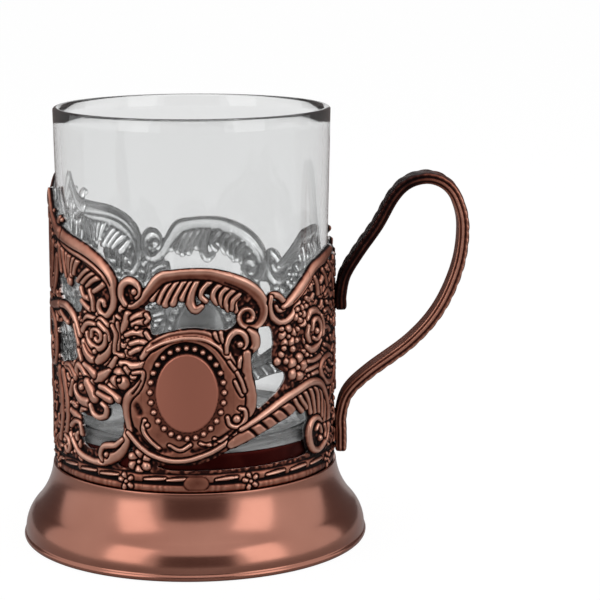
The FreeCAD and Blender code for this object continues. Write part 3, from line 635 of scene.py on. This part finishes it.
# Open flower with a beaded heart, broad leaves and a hanging loop.
strokes([[(-54, 46.2), (-52.8, 49.2), (-50, 48.8), (-46.4, 46.4)]], 1.7, 1.8, 1.05)
strokes([[(-61.6, 48.2), (-58.6, 48), (-55.4, 46.2)]], 2.2, 2.7, 1.0, "vein")
strokes([[(-54.4, 43.6), (-53.4, 42), (-50.6, 40.6), (-46.8, 40.4)]], 1.9, 2.6, 1.1)
ball((-50.2, 44), 2.1, 0.55)
ball((-50.4, 44), 1.0, 1.25)
strokes([[(-47, 45.6), (-45.2, 44), (-43.2, 42.2)]], 2.6, 3.4, 1.15)
strokes([[(-39.6, 45.2), (-36, 44.6), (-31, 42.6)], [(-40.8, 43.4), (-38, 42.8), (-34.8, 42.2)]],
        1.5, 2.1, 1.05)
strap([(-45, 40, 1.2), (-43.4, 38, 1.4), (-40.6, 37.3, 1.5), (-37.4, 38, 1.5), (-36.6, 39.9, 1.4),
       (-38.8, 41, 1.2)], 1.1)
strokes([[(-58.8, 37.4), (-55.6, 36.6), (-52.6, 35.8)]], 1.4, 2.4, 0.95)
strokes([[(-58.6, 41.4), (-57, 43.8), (-56.4, 45)]], 1.8, 1.2, 0.95)

# Stem and leaves between the two left windows.
strokes([[(-76, 62.4), (-70, 63.2), (-62, 63.6), (-57, 62.6), (-53, 60.2), (-50.4, 57.2)]], 2.4, 1.6, 1.15)
strokes([[(-66, 61.6), (-63, 60.4), (-60, 59.4)], [(-54.4, 59.4), (-53.2, 57), (-51.8, 54.8)]],
        1.1, 1.5, 0.95)

# Lower left: C-scroll with a curling leaf, and a broad striped leaf.
strokes([[(-58.2, 33.4), (-55, 34.8), (-51.7, 34.6), (-50.6, 32)]], 1.5, 1.2, 1.0)
strap([(-58.6, 31.2, 1.2), (-55.6, 28.8, 1.4), (-51.6, 26.8, 1.5), (-45, 25.9, 1.6), (-39.2, 26.1, 2.0),
       (-34, 27.7, 2.8), (-30.6, 29.8, 3.4), (-28, 32.4, 2.6), (-26.9, 35.2, 1.5)], 1.15)
strap([(-38.9, 26.6, 0.8), (-40, 28, 1.2), (-38.8, 29.9, 1.5), (-35.8, 30.6, 1.7), (-32.4, 31, 1.6),
       (-29.4, 32.6, 1.2)], 1.15)
ball((-37, 28.2), 0.85, 1.15)
groove([(-36.2, 29.2), (-33, 29.4), (-30, 31)], 0.6, 0.4)
fan([(-64.6, 46.4), (-61.2, 40), (-60.8, 34), (-64, 28.8)],
    [(-69, 46.6), (-66, 40), (-65.8, 34), (-68.6, 28.6)], 2, (2.4, 1.6), 1.05)
strap([(-63.4, 30.2, 1.2), (-60.6, 29.4, 1.3), (-59.6, 27.6, 1.3), (-61.4, 26.2, 1.2),
       (-63.6, 27.2, 1.0)], 1.1)
ball((-61.6, 28), 0.6, 1.0)
flower((-22.3, 27.5), 3.1, 6, 30, 1.05, 0.24)

# Cartouche: plain field, banded frame above, strapwork at both sides and a thin lip below.
field([(-26.6, 40.5), (-22, 48), (-18.4, 54), (-12, 57.6), (-3, 59), (6, 58), (13, 54), (17.6, 48),
       (20.6, 42.5), (19, 38), (13, 34), (6, 31), (-2, 29), (-10, 29), (-17, 31), (-23, 34.5)], 0.62)
strap([(-20.4, 53.6, 1.4), (-18, 55.7, 1.9), (-15.2, 57, 2.3), (-10.4, 58.6, 2.2), (-5.7, 59.3, 2.1),
       (0, 59.6, 2.2), (5.2, 58.9, 2.4), (9.6, 57, 2.4), (12.6, 54.4, 2.0), (15.4, 51.6, 1.5),
       (18, 49, 1.1)], 1.0)
groove([(-16, 57.2), (-10.4, 58.9), (-5.7, 59.6), (0, 59.9), (5.2, 59.2), (9.4, 57.4)], 0.55, 0.7)
strap([(-18, 55.4, 0.8), (-13.3, 57.1, 0.9), (-8.5, 58.1, 0.9), (-2.8, 58.7, 0.9), (3.3, 58.4, 0.9),
       (7.6, 57.1, 0.9), (10.5, 55.6, 0.9), (13.3, 53.2, 0.9), (16.1, 50.6, 0.8)], 1.2, trench=0)
strokes([[(8, 59.6), (8.6, 58.6), (9.8, 57.8)], [(10.3, 59.8), (10.6, 58.4), (11.6, 57)]], 1.1, 0.9, 1.0)
strap([(21.4, 60, 1.3), (23.6, 58.6, 2.5), (24.4, 56.4, 2.5), (22.6, 54.8, 1.4)], 1.15)
strap([(12.4, 55, 1.1), (12.5, 56.8, 1.3), (14, 59, 1.5), (16.8, 60, 1.6), (19.5, 59, 1.6),
       (20.4, 57.2, 1.3), (19.4, 55.8, 1.0)], 1.2)
ball((17.9, 56.7), 0.95, 1.2)
strap([(22, 54.6, 1.0), (20.6, 54, 1.2), (18, 53, 1.2), (17.4, 51.2, 1.0)], 1.1)
strap([(20.7, 54.2, 2.0), (20.6, 51, 2.4), (20.8, 48.4, 2.6), (22, 45.4, 2.7), (22.5, 42.6, 2.8),
       (21.6, 40, 2.6), (19, 38.4, 2.0)], 0.85, "flat")
strokes([[(13.4, 52.6), (15.4, 50.8), (18.2, 48.8)], [(15.7, 47.6), (17.2, 45.6), (18.6, 44.2)],
         [(16.6, 49.8), (18.4, 47.4), (19.6, 45)]], 0.9, 1.1, 0.95)
strap([(12.6, 38.8, 1.0), (13.6, 36.9, 1.1), (17, 36.3, 1.2), (19.8, 38, 1.2), (19.6, 40.2, 1.1),
       (17.6, 40.8, 0.9)], 1.1)
ball((16.3, 38.2), 1.15, 1.15)
ball((-24.2, 48.8), 1.05, 1.2)
strap([(-24.2, 49.6, 1.0), (-22.2, 49.9, 1.2), (-20.2, 49.9, 1.1), (-20.4, 48.2, 1.1), (-22.8, 45.8, 1.9),
       (-25.9, 44, 2.3), (-27.4, 42.1, 2.2), (-27.5, 39.8, 1.9), (-26.9, 37.4, 1.6), (-26, 34.8, 1.2)],
      0.95)
strokes([[(-19.7, 37.9), (-20.3, 35.4), (-18, 33.2), (-13.8, 31)]], 1.1, 0.9, 1.05)
ball((-18.7, 36.8), 0.7, 1.0)
groove([(-22.9, 41.5), (-22.6, 41.2)], 0.95, 1.3)
groove([(-21.9, 40.2), (-21.6, 39.8)], 0.95, 1.4)
groove([(-24.6, 44.4), (-22.6, 46), (-21, 47.8)], 0.8, 0.6)
groove([(-23.6, 35.4), (-20, 32.6), (-16, 30.6)], 0.8, 0.9)
strokes([[(-10, 32), (-5.7, 30.9), (-1.9, 32.2)], [(1.9, 32.6), (4, 32), (5.9, 32.2)],
         [(7.4, 33.6), (9.8, 33), (12, 34)]], 0.8, 1.0, 1.0)
groove([(-13, 30.6), (-11.6, 30.7), (-10, 30.9)], 0.95, 1.3)
groove([(-1, 30.7), (1.4, 30.9), (4, 31.5)], 0.95, 1.2)
groove([(6.6, 32.6), (9, 33.4), (14, 35.4)], 0.8, 0.8)
strap([(-26.8, 34.6, 1.0), (-22.8, 31.9, 1.1), (-18.5, 29.9, 1.1), (-13.8, 28.7, 1.2), (-8.5, 28.1, 1.2),
       (-3.3, 28.3, 1.2), (1.9, 29.2, 1.2), (6.7, 30.4, 1.2), (11.4, 32.1, 1.2), (16.2, 34.1, 1.2),
       (20.9, 36.2, 1.2), (25.7, 38.2, 1.3)], 1.15)

# Right valley: a hook and a ring strap, and the arch band that climbs to the tip by the handle.
strap([(30, 66.4, 1.1), (31.6, 68, 1.3), (34.6, 67.7, 1.6), (37, 66.3, 1.5), (38.9, 65.1, 0.9)], 1.05)
strap([(31.2, 67.6, 1.1), (30.6, 65.4, 1.2), (31.8, 62.8, 1.5), (34.8, 61.2, 1.6), (38, 61.1, 1.6),
       (41, 62, 1.6), (43, 63.4, 1.6), (45, 65.4, 1.4)], 1.15)
strap([(33.4, 65.2, 0.7), (34.8, 64, 1.0), (37.4, 64.2, 1.0), (40.4, 65, 0.9)], 1.0)
strap([(37, 64.8, 1.2), (41, 66, 2.4), (45.6, 68, 3.0), (50.6, 70.6, 3.1), (55, 72.8, 3.1),
       (60, 73.9, 3.0), (66, 75.2, 2.8), (71, 76.2, 1.8)], 1.2)
groove([(42, 65.6), (46.4, 67.4), (51.4, 70), (56, 72), (62, 73)], 0.75, 0.45)
strap([(60.2, 69, 1.6), (63.4, 70.6, 2.4), (66.8, 72.6, 1.3)], 1.1)
strap([(66, 67.6, 1.2), (69.4, 69, 2.0), (72, 71, 1.1)], 1.05)
fan([(55.5, 70.6), (57.4, 68.8), (58.4, 66.4)], [(68, 73.4), (73, 70.4), (76, 66)], 3, (1.4, 1.7), 0.95)

# Posy at the right: small flowers, berries and a rose with a ringed eye.
flower((46, 62.3), 2.3, 5, 60, 1.05, 0.3)
flower((39.6, 57.2), 2.9, 5, 20, 1.05, 0.28)
berries = [(34.2, 51.3, 1.3), (36, 53, 1.1), (37.4, 54.4, 0.95), (42, 53.8, 1.1), (38.4, 51, 1.0),
           (44.6, 58.6, 0.9), (36.2, 59.4, 0.9), (49.6, 63.9, 0.9), (44, 55.8, 0.95), (50.3, 51.6, 0.9)]
for azimuth, height, berry_radius in berries:
    ball((azimuth, height), berry_radius * 0.85, 1.1, trench=0.35)
ball((57, 56.6), 5.2, 0.6)
strap([(50.4, 60.6, 1.2), (52.6, 62.1, 1.9), (56, 62.2, 1.9), (58.8, 61.2, 1.2)], 1.15)
strap([(50.2, 53.6, 1.3), (53, 52.6, 2.0), (56.6, 52.8, 2.2), (60, 54.2, 1.3)], 1.15)
strap([(51.2, 58.6, 1.2), (50.6, 56.6, 1.5), (51.8, 54.8, 1.2)], 1.1)
strap([(60.6, 60.4, 1.2), (62.6, 58, 1.8), (62.2, 55.4, 1.2)], 1.15)
strap([(53.4, 57.6, 1.0), (54.4, 59.6, 1.5), (57.4, 60, 1.5), (59.8, 58.4, 1.4), (59.8, 56, 1.3),
       (57.2, 54.8, 1.3), (54.4, 55.4, 1.0)], 1.25)
ball((57.1, 56.9), 1.0, 1.35)
flower((44.8, 48.9), 3.5, 5, 75, 1.1, 0.27)
fan([(64.6, 65.4), (67.4, 66.2), (70, 65)], [(64, 52.6), (67, 52), (70, 51)], 4, (1.2, 1.5), 0.95)
strokes([[(51, 49.8), (55, 49.6), (60, 50)], [(50, 47.6), (54.6, 47.8), (59.6, 48)],
         [(54, 46.2), (57.4, 46.4), (60.4, 45.8)]], 1.2, 1.5, 0.95)
strap([(72, 48.6, 1.1), (68, 49.4, 1.6), (62.6, 48.8, 1.9), (60.2, 47, 2.0), (62, 44.6, 1.9),
       (66, 42.8, 1.7), (71, 42.2, 1.6), (75.6, 43.4, 1.5), (76.4, 45.8, 1.2), (73, 46.4, 1.0)], 1.15)
strokes([[(66, 46.4), (69, 45.2), (72.6, 44.8)]], 1.1, 1.2, 1.0)

# Long diagonal scroll from under the cartouche to its volute by the handle.
fan([(14.4, 32.9), (15.6, 31.9)], [(22, 36), (24.4, 34.2)], 3, (1.8, 1.8), 0.8)
strap([(14, 31.9, 2.0), (18, 33.2, 2.8), (24.6, 35, 3.0), (29.9, 36.5, 3.2), (34.6, 37.8, 3.6),
       (39.3, 38.9, 4.0), (42.6, 39.9, 3.6)], 0.85, "flat")
for start in range(5):
    left, high = 19.4 + 4.9 * start, 36.0 + 1.25 * start
    groove([(left, high), (left + 2.6, high - 0.8), (left + 5.6, high - 2.6)], 0.95, 0.7)
strokes([[(42.4, 41.6), (44.6, 39.4), (47.4, 37.6)], [(45, 42.4), (47.6, 40), (50.3, 38.2)],
         [(47.8, 43.2), (50.8, 40.4), (52.8, 36.6)], [(51.4, 43.8), (54.3, 40.4), (55.8, 35.8)],
         [(55.2, 43.8), (58.2, 40.2), (58.8, 35.2)], [(58.6, 43.2), (61.4, 39.4), (61.6, 34.4)],
         [(61.8, 42), (64.2, 38.2), (63.8, 33)]], 1.1, 1.45, 1.0)
strap([(18, 35.6, 1.3), (24.6, 37.6, 1.5), (29.9, 39.3, 1.8), (34.6, 40.8, 2.0), (39.3, 42, 2.1),
       (44.5, 43, 2.1), (50.2, 44, 2.2), (55, 44.2, 2.2), (59.4, 43.4, 2.2), (63, 41.6, 2.1),
       (66, 38.6, 2.0), (67.8, 34.6, 2.0), (68.2, 30.6, 2.0)], 1.2)
strap([(68.2, 31.4, 1.9), (66.6, 28.6, 2.0), (63.2, 26.9, 1.8), (58.4, 26.1, 1.7), (54.4, 27, 2.0),
       (52.2, 29.3, 2.4), (51.8, 32, 2.4), (54, 34.2, 2.0), (57.8, 34.6, 1.5), (60.4, 33.2, 1.2)], 1.2)
strokes([[(57.2, 31.6), (58.8, 32.6), (60.6, 31.6), (61.4, 29.8)]], 1.0, 1.0, 1.0)
ball((60.4, 28.9), 1.0, 1.15)
strokes([[(64.4, 31.8), (65.2, 30.2), (64.6, 28.8)]], 1.2, 1.0, 1.0)

# Crest panel at the far left: stem, scrolls, palmette and the pointed tip.
strokes([[(-96, 62.4), (-84, 61.4), (-76, 62.2), (-68, 63.2)]], 2.0, 2.4, 1.1)
strap([(-78, 60.6, 1.6), (-73, 58, 2.2), (-71, 53, 2.2), (-72.4, 48.6, 2.0), (-78, 47.4, 1.8),
       (-81, 50.4, 1.6), (-79.4, 53.6, 1.3), (-76.8, 52.8, 1.0)], 1.15)
ball((-77.6, 51.2), 0.95, 1.15)
strap([(-84, 60.4, 1.5), (-87, 58.6, 1.7), (-87.6, 55.4, 1.6), (-84.4, 53.6, 1.3)], 1.1)
strokes([[(-74, 66), (-71, 70), (-69, 75)], [(-80, 66), (-76.4, 72), (-74.6, 78)],
         [(-86, 66), (-83, 74), (-80.4, 83)]], 2.2, 2.8, 1.05, "vein")
strap([(-93, 65, 2.6), (-93, 75, 4.6), (-93, 84.5, 1.8)], 1.2, "vein")
strap([(-96, 86, 2.2), (-90, 86.8, 2.2), (-84, 89.6, 2.2), (-80.6, 91, 1.4)], 1.15)
strap([(-80.4, 91.2, 1.0), (-77.8, 88, 1.8), (-74, 84.6, 2.6), (-70, 82.4, 3.2), (-66.4, 81.4, 3.6)], 1.15)
strokes([[(-94, 45), (-92, 36), (-94, 27)], [(-84, 44), (-80, 36), (-84, 27)]], 2.6, 2.0, 1.0, "vein")

# Medallion: a dark sunk ring of beads about a plain polished oval.
middle_height, oval_wide, oval_tall, ring_gap = 45.0, 7.75, 9.85, 1.4
bead_size, bead_count = 0.75, 28
x, z = np.meshgrid(across, upward - middle_height)
oval = np.hypot(x / oval_wide, z / oval_tall)
edge = (oval - 1) * (oval_wide + oval_tall) / 2
recess = np.clip((2.1 + 0.5 * np.clip(z / oval_tall, 0, 1.2) - edge) / 0.25, 0, 1) * (edge > -0.3)
shelf = 0.40 * np.clip(0.95 - z / (0.62 * oval_tall), 0, 1)          # the sink is deepest above
rise = rise * (1 - recess) + (0.04 + shelf) * recess
rise = np.where(edge <= 0, 0.72 * np.clip(-edge / 0.35, 0, 1) ** 0.5, rise)
plain = np.clip(-edge / 0.3, 0, 1)
metal = np.maximum(metal, 2.4 - edge)
for angle in np.linspace(0, 2 * np.pi, bead_count, endpoint=False):
    bead = ((oval_wide + ring_gap) * np.sin(angle) / degree,
            middle_height + (oval_tall + ring_gap) * np.cos(angle))
    ball(bead, bead_size, 1.2, trench=0.12, turn=False)

# Collar: two rounded bands with leaf bars, four small knots and a plain patch under the medallion.
collar_top, lower_band, upper_band, knot_height = 24.8, 21.1, 23.5, 22.2
rise[upward < collar_top] = 0
z = upward[:, None] + 0 * across
lower = np.clip(1 - ((z - lower_band) / 0.95) ** 2, 0, 1) ** 0.45
upper = np.clip(1 - ((z - upper_band) / 1.1) ** 2, 0, 1) ** 0.45
weave = 1 - 0.16 * (0.5 + 0.5 * np.sin(3.1 * x + 2 * np.sin(0.9 * x))) * (abs(x + 1) > 3.4)
rise = np.where(z < collar_top, np.maximum(0.60 * lower * weave, 0.62 * upper), rise)
metal = np.maximum(metal, collar_top + 0.3 - z)
for start in (-84, -74, -63, -51, -40, -20, -11, 8, 29, 41, 53, 65, 77):
    strap([(start, 23.2, 0.5), (start + 4.4, 23.4, 0.95), (start + 8.4, 23.6, 0.5)], 0.98, trench=0.28)
    groove([(start - 0.5, 22.5), (start + 4.4, 22.55), (start + 8.8, 22.75)], 0.9, 0.7)
strap([(-2, 22.4, 3.4), (2.6, 22.4, 3.4)], 0.60, "flat", trench=0)
for knot in (-28, 22, -72, 68):
    for angle in (35, 110, 165, 250, 320):
        strap([polar((knot, knot_height), 0.4, angle) + (0.9,),
               polar((knot, knot_height), 1.7, angle) + (1.2,)], 0.95)
    ball((knot, knot_height), 0.6, 1.05)


def blur(height, sigma):
    """Gaussian blur; sigma in mm."""
    radius = int(np.ceil(3 * sigma / pitch))
    weights = np.exp(-0.5 * (np.arange(-radius, radius + 1) * pitch / sigma) ** 2)
    weights /= weights.sum()
    for axis in (0, 1):
        padded = np.pad(height, [(radius, radius) if a == axis else (0, 0) for a in (0, 1)], mode="edge")
        height = sum(w * np.take(padded, np.arange(k, k + height.shape[axis]), axis=axis)
                     for k, w in enumerate(weights))
    return height


# Casting leaves every edge a little soft and the skin uneven; polishing reaches only what stands out
# from its surroundings, and the patina stays in the grooves. The tone worked out here also holds painted
# shade and highlight: hollows, slopes and low forms are coloured darker, and crests lighter.
chance = np.random.default_rng(7)
unevenness = blur(chance.standard_normal(rise.shape), 0.45)
matting = blur(chance.standard_normal(rise.shape), 0.3)
low_ground = np.clip(1 - rise / 0.3, 0, 1) * (upward[:, None] > collar_top) * (abs(edge - 1.4) > 1.6)
rise = rise + 0.22 * np.clip(matting / matting.std(), -0.5, 1.6) * blur(low_ground, 0.3)
rise = blur(rise, 0.11) + 0.035 * unevenness / np.abs(unevenness).max() * (1 - plain)
metal = blur(metal, 0.15)
# Patina and polish together with painted shade and highlight: darker in hollows, on slopes and on low forms,
# lighter on crests
polish_and_shade = 0.50 + 0.50 * (rise - blur(rise, 1.0)) + 0.95 * (rise - blur(rise, 0.4)) + 0.22 * (rise - 0.6)
polish_and_shade -= 0.07 * (upward[:, None] < collar_top)
polish_and_shade -= 0.24 * np.clip((abs(across / degree) - 52) / 20, 0, 1)     # painted shade: the sleeve is coloured darker towards its sides, beyond 52 degrees
polish_and_shade = np.clip(polish_and_shade * (1 - plain) + 0.52 * plain, 0, 1)
hollow_back = 0.80 * np.clip(blur(rise, 0.15), 0, 1.1)
# Painted glints and shade on the inner face: the crests of its relief are coloured lighter, its hollows
# darker
back_glint_and_shade = np.clip(0.72 + 1.2 * (blur(rise, 0.15) - blur(rise, 0.9)), 0, 1)
back_lift = 2.2                                   # mm that the arches of the back half stand higher
slope_z, slope_x = np.gradient(metal, upward[1] - upward[0], across[1] - across[0])


def mark(item, **fields):
    """Stores numbers for every point, which the material reads as attributes."""
    for label, numbers in fields.items():
        layer = item.data.attributes.new(label, "FLOAT", "POINT")
        layer.data.foreach_set("value", numbers.ravel().astype(np.float32))


def sleeve_piece(name, first, last, mirrored):
    """One sector of the sleeve as a closed shell.

    Outer points lie at the ground's radius plus the relief, inner points at the bore plus a share of
    it, as the back of a thin casting follows its front; both at the azimuth of their column. Points on
    the edge of an opening are moved along the slope of the metal's depth until that depth is nothing,
    and walls join the outer to the inner edge.
    """
    columns = slice(first, last + 1)
    depth = metal[:, columns]
    x, z = np.meshgrid(across[columns], upward)
    rows_n, columns_n = depth.shape
    kept = (depth[:-1, :-1] + depth[1:, :-1] + depth[:-1, 1:] + depth[1:, 1:]) > 0
    used, spare = np.zeros(depth.shape, bool), np.zeros(depth.shape, bool)
    for up, along in ((0, 0), (1, 0), (0, 1), (1, 1)):
        corner = (slice(up, rows_n - 1 + up), slice(along, columns_n - 1 + along))
        used[corner] |= kept
        spare[corner] |= ~kept
    on_edge = used & spare
    on_edge[:, [0, -1]] = False
    steep = np.maximum(slope_x[:, columns] ** 2 + slope_z[:, columns] ** 2, 0.15)
    limit = 0.8 * pitch
    x = x + np.clip(-depth * slope_x[:, columns] / steep, -limit, limit) * on_edge
    z = z + np.clip(-depth * slope_z[:, columns] / steep, -limit, limit) * on_edge
    z = np.clip(z, sleeve_low, sleeve_high)
    if mirrored:
        z = z + back_lift * np.clip((z - 50) / 25, 0, 1) ** 2
    azimuth = x / barrel
    facing = 1 if mirrored else -1
    outer, inner = (np.stack([radius * np.sin(azimuth), facing * radius * np.cos(azimuth), z], -1) * MM
                    for radius in (ground + rise[:, columns], bore + hollow_back[:, columns]))
    number = np.cumsum(used.ravel()).reshape(used.shape) - 1
    total = int(used.sum())
    a, b = number[:-1, :-1][kept], number[:-1, 1:][kept]
    c, d = number[1:, 1:][kept], number[1:, :-1][kept]
    shell = [np.stack([a, b, c, d], 1), np.stack([d, c, b, a], 1) + total]
    solid = np.pad(kept, 1)
    for (up, along), (p, q) in (((-1, 0), (a, b)), ((1, 0), (c, d)), ((0, -1), (d, a)), ((0, 1), (b, c))):
        bare = ~solid[1 + up:rows_n + up, 1 + along:columns_n + along][kept]
        shell.append(np.stack([q[bare], p[bare], p[bare] + total, q[bare] + total], 1))
    faces = np.concatenate(shell)
    if mirrored:
        faces = faces[:, ::-1]
    item = add_mesh(name, np.concatenate([outer[used], inner[used]]), faces)
    mark(item, shine=np.concatenate([face[:, columns][used] for face in (polish_and_shade, back_glint_and_shade)]),
         inside=np.repeat([0.0, 1.0], total),
         matte=np.concatenate([plain[:, columns][used], np.zeros(total)]))
    return item


antique_copper, tree = node_material("antique_copper")
# The tone attribute carries patina and polish, and also painted shade and highlight; it is turned into
# colour below
shine, inside, matte = (add_node(tree, "Attribute", attribute_name=label).outputs["Fac"]
                        for label in ("shine", "inside", "matte"))
grime = clouds(tree, add_node(tree, "TexCoord").outputs["Object"], 380.0, 4.0)
calm = span(tree, matte, low=0.20, high=0.03)
wear_and_painted_light = figure(tree, "MULTIPLY_ADD", figure(tree, "SUBTRACT", grime, 0.5), calm, shine)
# Copper colours from dark patina to bright polish, which here also paint the relief's shade and highlights
patina = ramp(tree, wear_and_painted_light, (0.14, (0.004, 0.0008, 0.0008)), (0.28, (0.030, 0.007, 0.005)),
              (0.42, (0.16, 0.050, 0.032)), (0.56, (0.32, 0.125, 0.082)), (0.74, (0.50, 0.245, 0.178)),
              (0.92, (0.66, 0.37, 0.28)))
# Inner face: silvery grey, with painted glints on the crests and painted shade in the hollows
plated = ramp(tree, wear_and_painted_light, (0.25, (0.34, 0.34, 0.34)), (0.72, (0.98, 0.98, 0.98)))
face_or_back = blend(tree, inside, patina, plated)
satin_plate = blend(tree, matte, face_or_back, (0.43, 0.161, 0.111, 1))
dull = span(tree, wear_and_painted_light, 0.2, 0.8, 0.56, 0.30)
roughness = add_node(tree, "Mix", {0: inside, 2: dull, 3: 0.20}).outputs[0]
show(tree, add_node(tree, "BsdfPrincipled", {"Base Color": satin_plate, "Roughness": roughness,
                                             "Metallic": span(tree, inside, low=0.9, high=0.95)}))

sectors = 5
seams = np.linspace(0, len(across) - 1, sectors + 1).astype(int)
for side, mirrored in (("front", False), ("back", True)):
    for number, (first, last) in enumerate(zip(seams[:-1], seams[1:])):
        piece = sleeve_piece("sleeve_%s_%d" % (side, number + 1), first, last, mirrored)
        piece.data.materials.append(antique_copper)
        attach(piece, "root")
        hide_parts("sleeve")


# ---------------------------------------------------------------- glass
# Pressed tumbler of faintly grey soda glass: heavy base, thin wall, lip rounded by fire polishing.
# Its thick base is streaked and a little milky. It stands loose in the tray.

glass_low, glass_top = tray_low + tray_wall, 111.3
rim_radius, base_radius, glass_wall = 35.1, 33.5, 1.8
glass_floor, heel, bowl = 5.0, 2.5, 4.0
lip_low = glass_top - glass_wall * 0.321
floor_height = glass_low + glass_floor
glass = lathe("tumbler", band((0.02, glass_low), (base_radius - heel, glass_low), 12)
              + arc((base_radius - heel, glass_low), (base_radius, glass_low + heel), heel * 1.02, 1, 8)
              + band((base_radius, glass_low + heel), (rim_radius, lip_low), 24)
              + arc((rim_radius, lip_low), (rim_radius - glass_wall, lip_low), glass_wall * 0.55, 1, 12)
              + band((rim_radius - glass_wall, lip_low),
                     (base_radius - glass_wall, floor_height + bowl), 24)
              + arc((base_radius - glass_wall, floor_height + bowl),
                    (base_radius - glass_wall - bowl, floor_height), bowl * 1.02, -1, 10)
              + band((base_radius - glass_wall - bowl, floor_height), (0.02, floor_height), 12))

clear_glass, tree = node_material("clear_glass")
place = add_node(tree, "TexCoord").outputs["Object"]
streaks = clouds(tree, place, 1.0, 3.0, 1.2, stretch=(60, 60, 420))
height = add_node(tree, "SeparateXYZ", {0: place}).outputs["Z"]
thick_base = span(tree, height, (floor_height + 3) * MM, (floor_height - 1) * MM, 0.0, 0.62)
haze = figure(tree, "MULTIPLY", thick_base, span(tree, streaks, 0.38, 0.62, 0.55, 1.0))
clearness = figure(tree, "SUBTRACT", 0.985, haze)
show(tree, add_node(tree, "BsdfPrincipled", {"Base Color": (0.93, 0.935, 0.935, 1), "Roughness": 0.0,
                                             "IOR": 1.5, "Transmission Weight": clearness}))
glass.data.materials.append(clear_glass)
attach(glass, "root")
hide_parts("glass")


# ---------------------------------------------------------------- handle
# Strap cast with a braid of small leaves on its outer face and ribbed edges, bent to the shape of an
# ear and soldered to the sleeve by two upright feet. Polish has reached its ribs, the rest stays dark; the
# colour also holds painted highlights along the ribs and on the braid, and painted shade in the notches.

strap_thick, strap_wide, strap_corner = 3.2, 8.4, 1.1
leaf_length, scallop_length, rib_gap, ridge_gap = 3.4, 1.7, 1.25, 2.6
crown, sunk = 78, 0.28                            # mm along the strap to its crown; mm the relief is let in
ear = [(37.9, 21.6), (37.9, 24), (37.9, 27), (37.9, 31.6), (39.7, 37.3), (45, 42.6), (55.9, 50.9),
       (63.1, 59.5), (67.7, 70.4), (68.9, 80.5), (67.4, 87.3), (64.5, 91.4), (60, 93.1), (55, 91.9),
       (51.2, 88.2), (47.2, 81), (42.5, 74.2), (39, 68.3), (37.9, 63.2), (37.9, 60.6), (37.9, 59)]
ear_line = even(smooth_curve(ear), 0.28)
ear_length = np.concatenate([[0], np.cumsum(np.hypot(*np.diff(ear_line, axis=0).T))])


def rounded_bar(wide, thick, corner):
    """Outline of a bar's cross-section, sideways and outwards, with rounded corners."""
    w, t, c = wide / 2, thick / 2, corner
    return np.array(band((-w, t - c), (-w, c - t), 10) + arc((-w, c - t), (c - w, -t), c * 1.01, 1, 6)
                    + band((c - w, -t), (w - c, -t), 20) + arc((w - c, -t), (w, c - t), c * 1.01, 1, 6)
                    + band((w, c - t), (w, t - c), 10) + arc((w, t - c), (w - c, t), c * 1.01, 1, 6)
                    + band((w - c, t), (c - w, t), 20) + arc((c - w, t), (-w, t - c), c * 1.01, 1, 6))


def swept_bar(name, line, length, outline):
    """Closed bar whose outline is carried along a line in the plane of the loop.

    Ribs run along both edges, leaves in a braid over the outer face, and scallops notch the outer
    corners. The relief moves each point along the outline's own normal, and both ends are capped.
    """
    along = np.gradient(line, axis=0)
    along /= np.hypot(*along.T)[:, None]
    outward = np.stack([along[:, 1], -along[:, 0]], 1)
    ahead, behind = np.roll(outline, -1, 0), np.roll(outline, 1, 0)
    normal = (ahead - behind)[:, ::-1] * (1, -1)
    normal /= np.hypot(*normal.T)[:, None] + 1e-9
    side, out_by = outline.T
    s = length[:, None]
    to_end = np.clip(np.minimum(s, length[-1] - s) / 1.4, 0, 1)
    full = 0.45 + 0.55 * np.sqrt(1 - (1 - to_end) ** 2)
    edge = np.clip((abs(side) - 3.0) / 0.8, 0, 1)
    outer = np.clip(out_by / 1.2, 0, 1)
    ribs = 0.11 * np.cos(2 * np.pi * out_by / rib_gap + 0.6) * edge
    braid = 0.30 * abs(np.sin(np.pi * (s / leaf_length + abs(side) / 5.2))) ** 0.6 * outer * (1 - edge)
    scallop = 0.26 * abs(np.sin(np.pi * s / scallop_length)) ** 0.5 * outer * edge
    ridge = 0.12 * np.cos(2 * np.pi * side / ridge_gap) * np.clip(-out_by / 1.2, 0, 1) * (1 - edge)
    relief = ribs + braid + scallop + ridge
    bar = full[..., None] * (outline + (relief - sunk)[..., None] * normal)
    points = np.stack([line[:, :1] + bar[..., 1] * outward[:, :1], bar[..., 0],
                       line[:, 1:] + bar[..., 1] * outward[:, 1:]], -1)
    rows, n = relief.shape
    i = np.arange(n // 2 - 1)
    cap = np.stack([i, i + 1, n - 2 - i, n - 1 - i], 1)
    faces = np.concatenate([grid_faces(rows, n, False, True), cap[:, ::-1], cap + (rows - 1) * n])
    item = add_mesh(name, points.reshape(-1, 3) * MM, faces)
    rising = np.clip((s - crown) / 14, 0, 1)             # beyond the crown it is left darker
    # Tone with painted light: rib crests and braid leaves lighter as polish and highlight, scallop notches
    # darker as patina and shade, the outer face darker
    ribbed = 0.58 - 0.27 * rising + 2.4 * ribs * (1 - 0.6 * rising)
    notched = 0.16 * scallop / 0.26 * (1 - 0.5 * outer)
    shine = ribbed - notched + 0.5 * (braid - 0.15) - 0.16 * outer * (1 - edge)
    mark(item, shine=np.clip(shine, 0, 1), inside=0 * relief, matte=0 * relief)
    return item


handle = swept_bar("handle_ear", ear_line, ear_length, rounded_bar(strap_wide, strap_thick, strap_corner))
handle.data.materials.append(antique_copper)
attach(handle, "root")
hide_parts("handle")
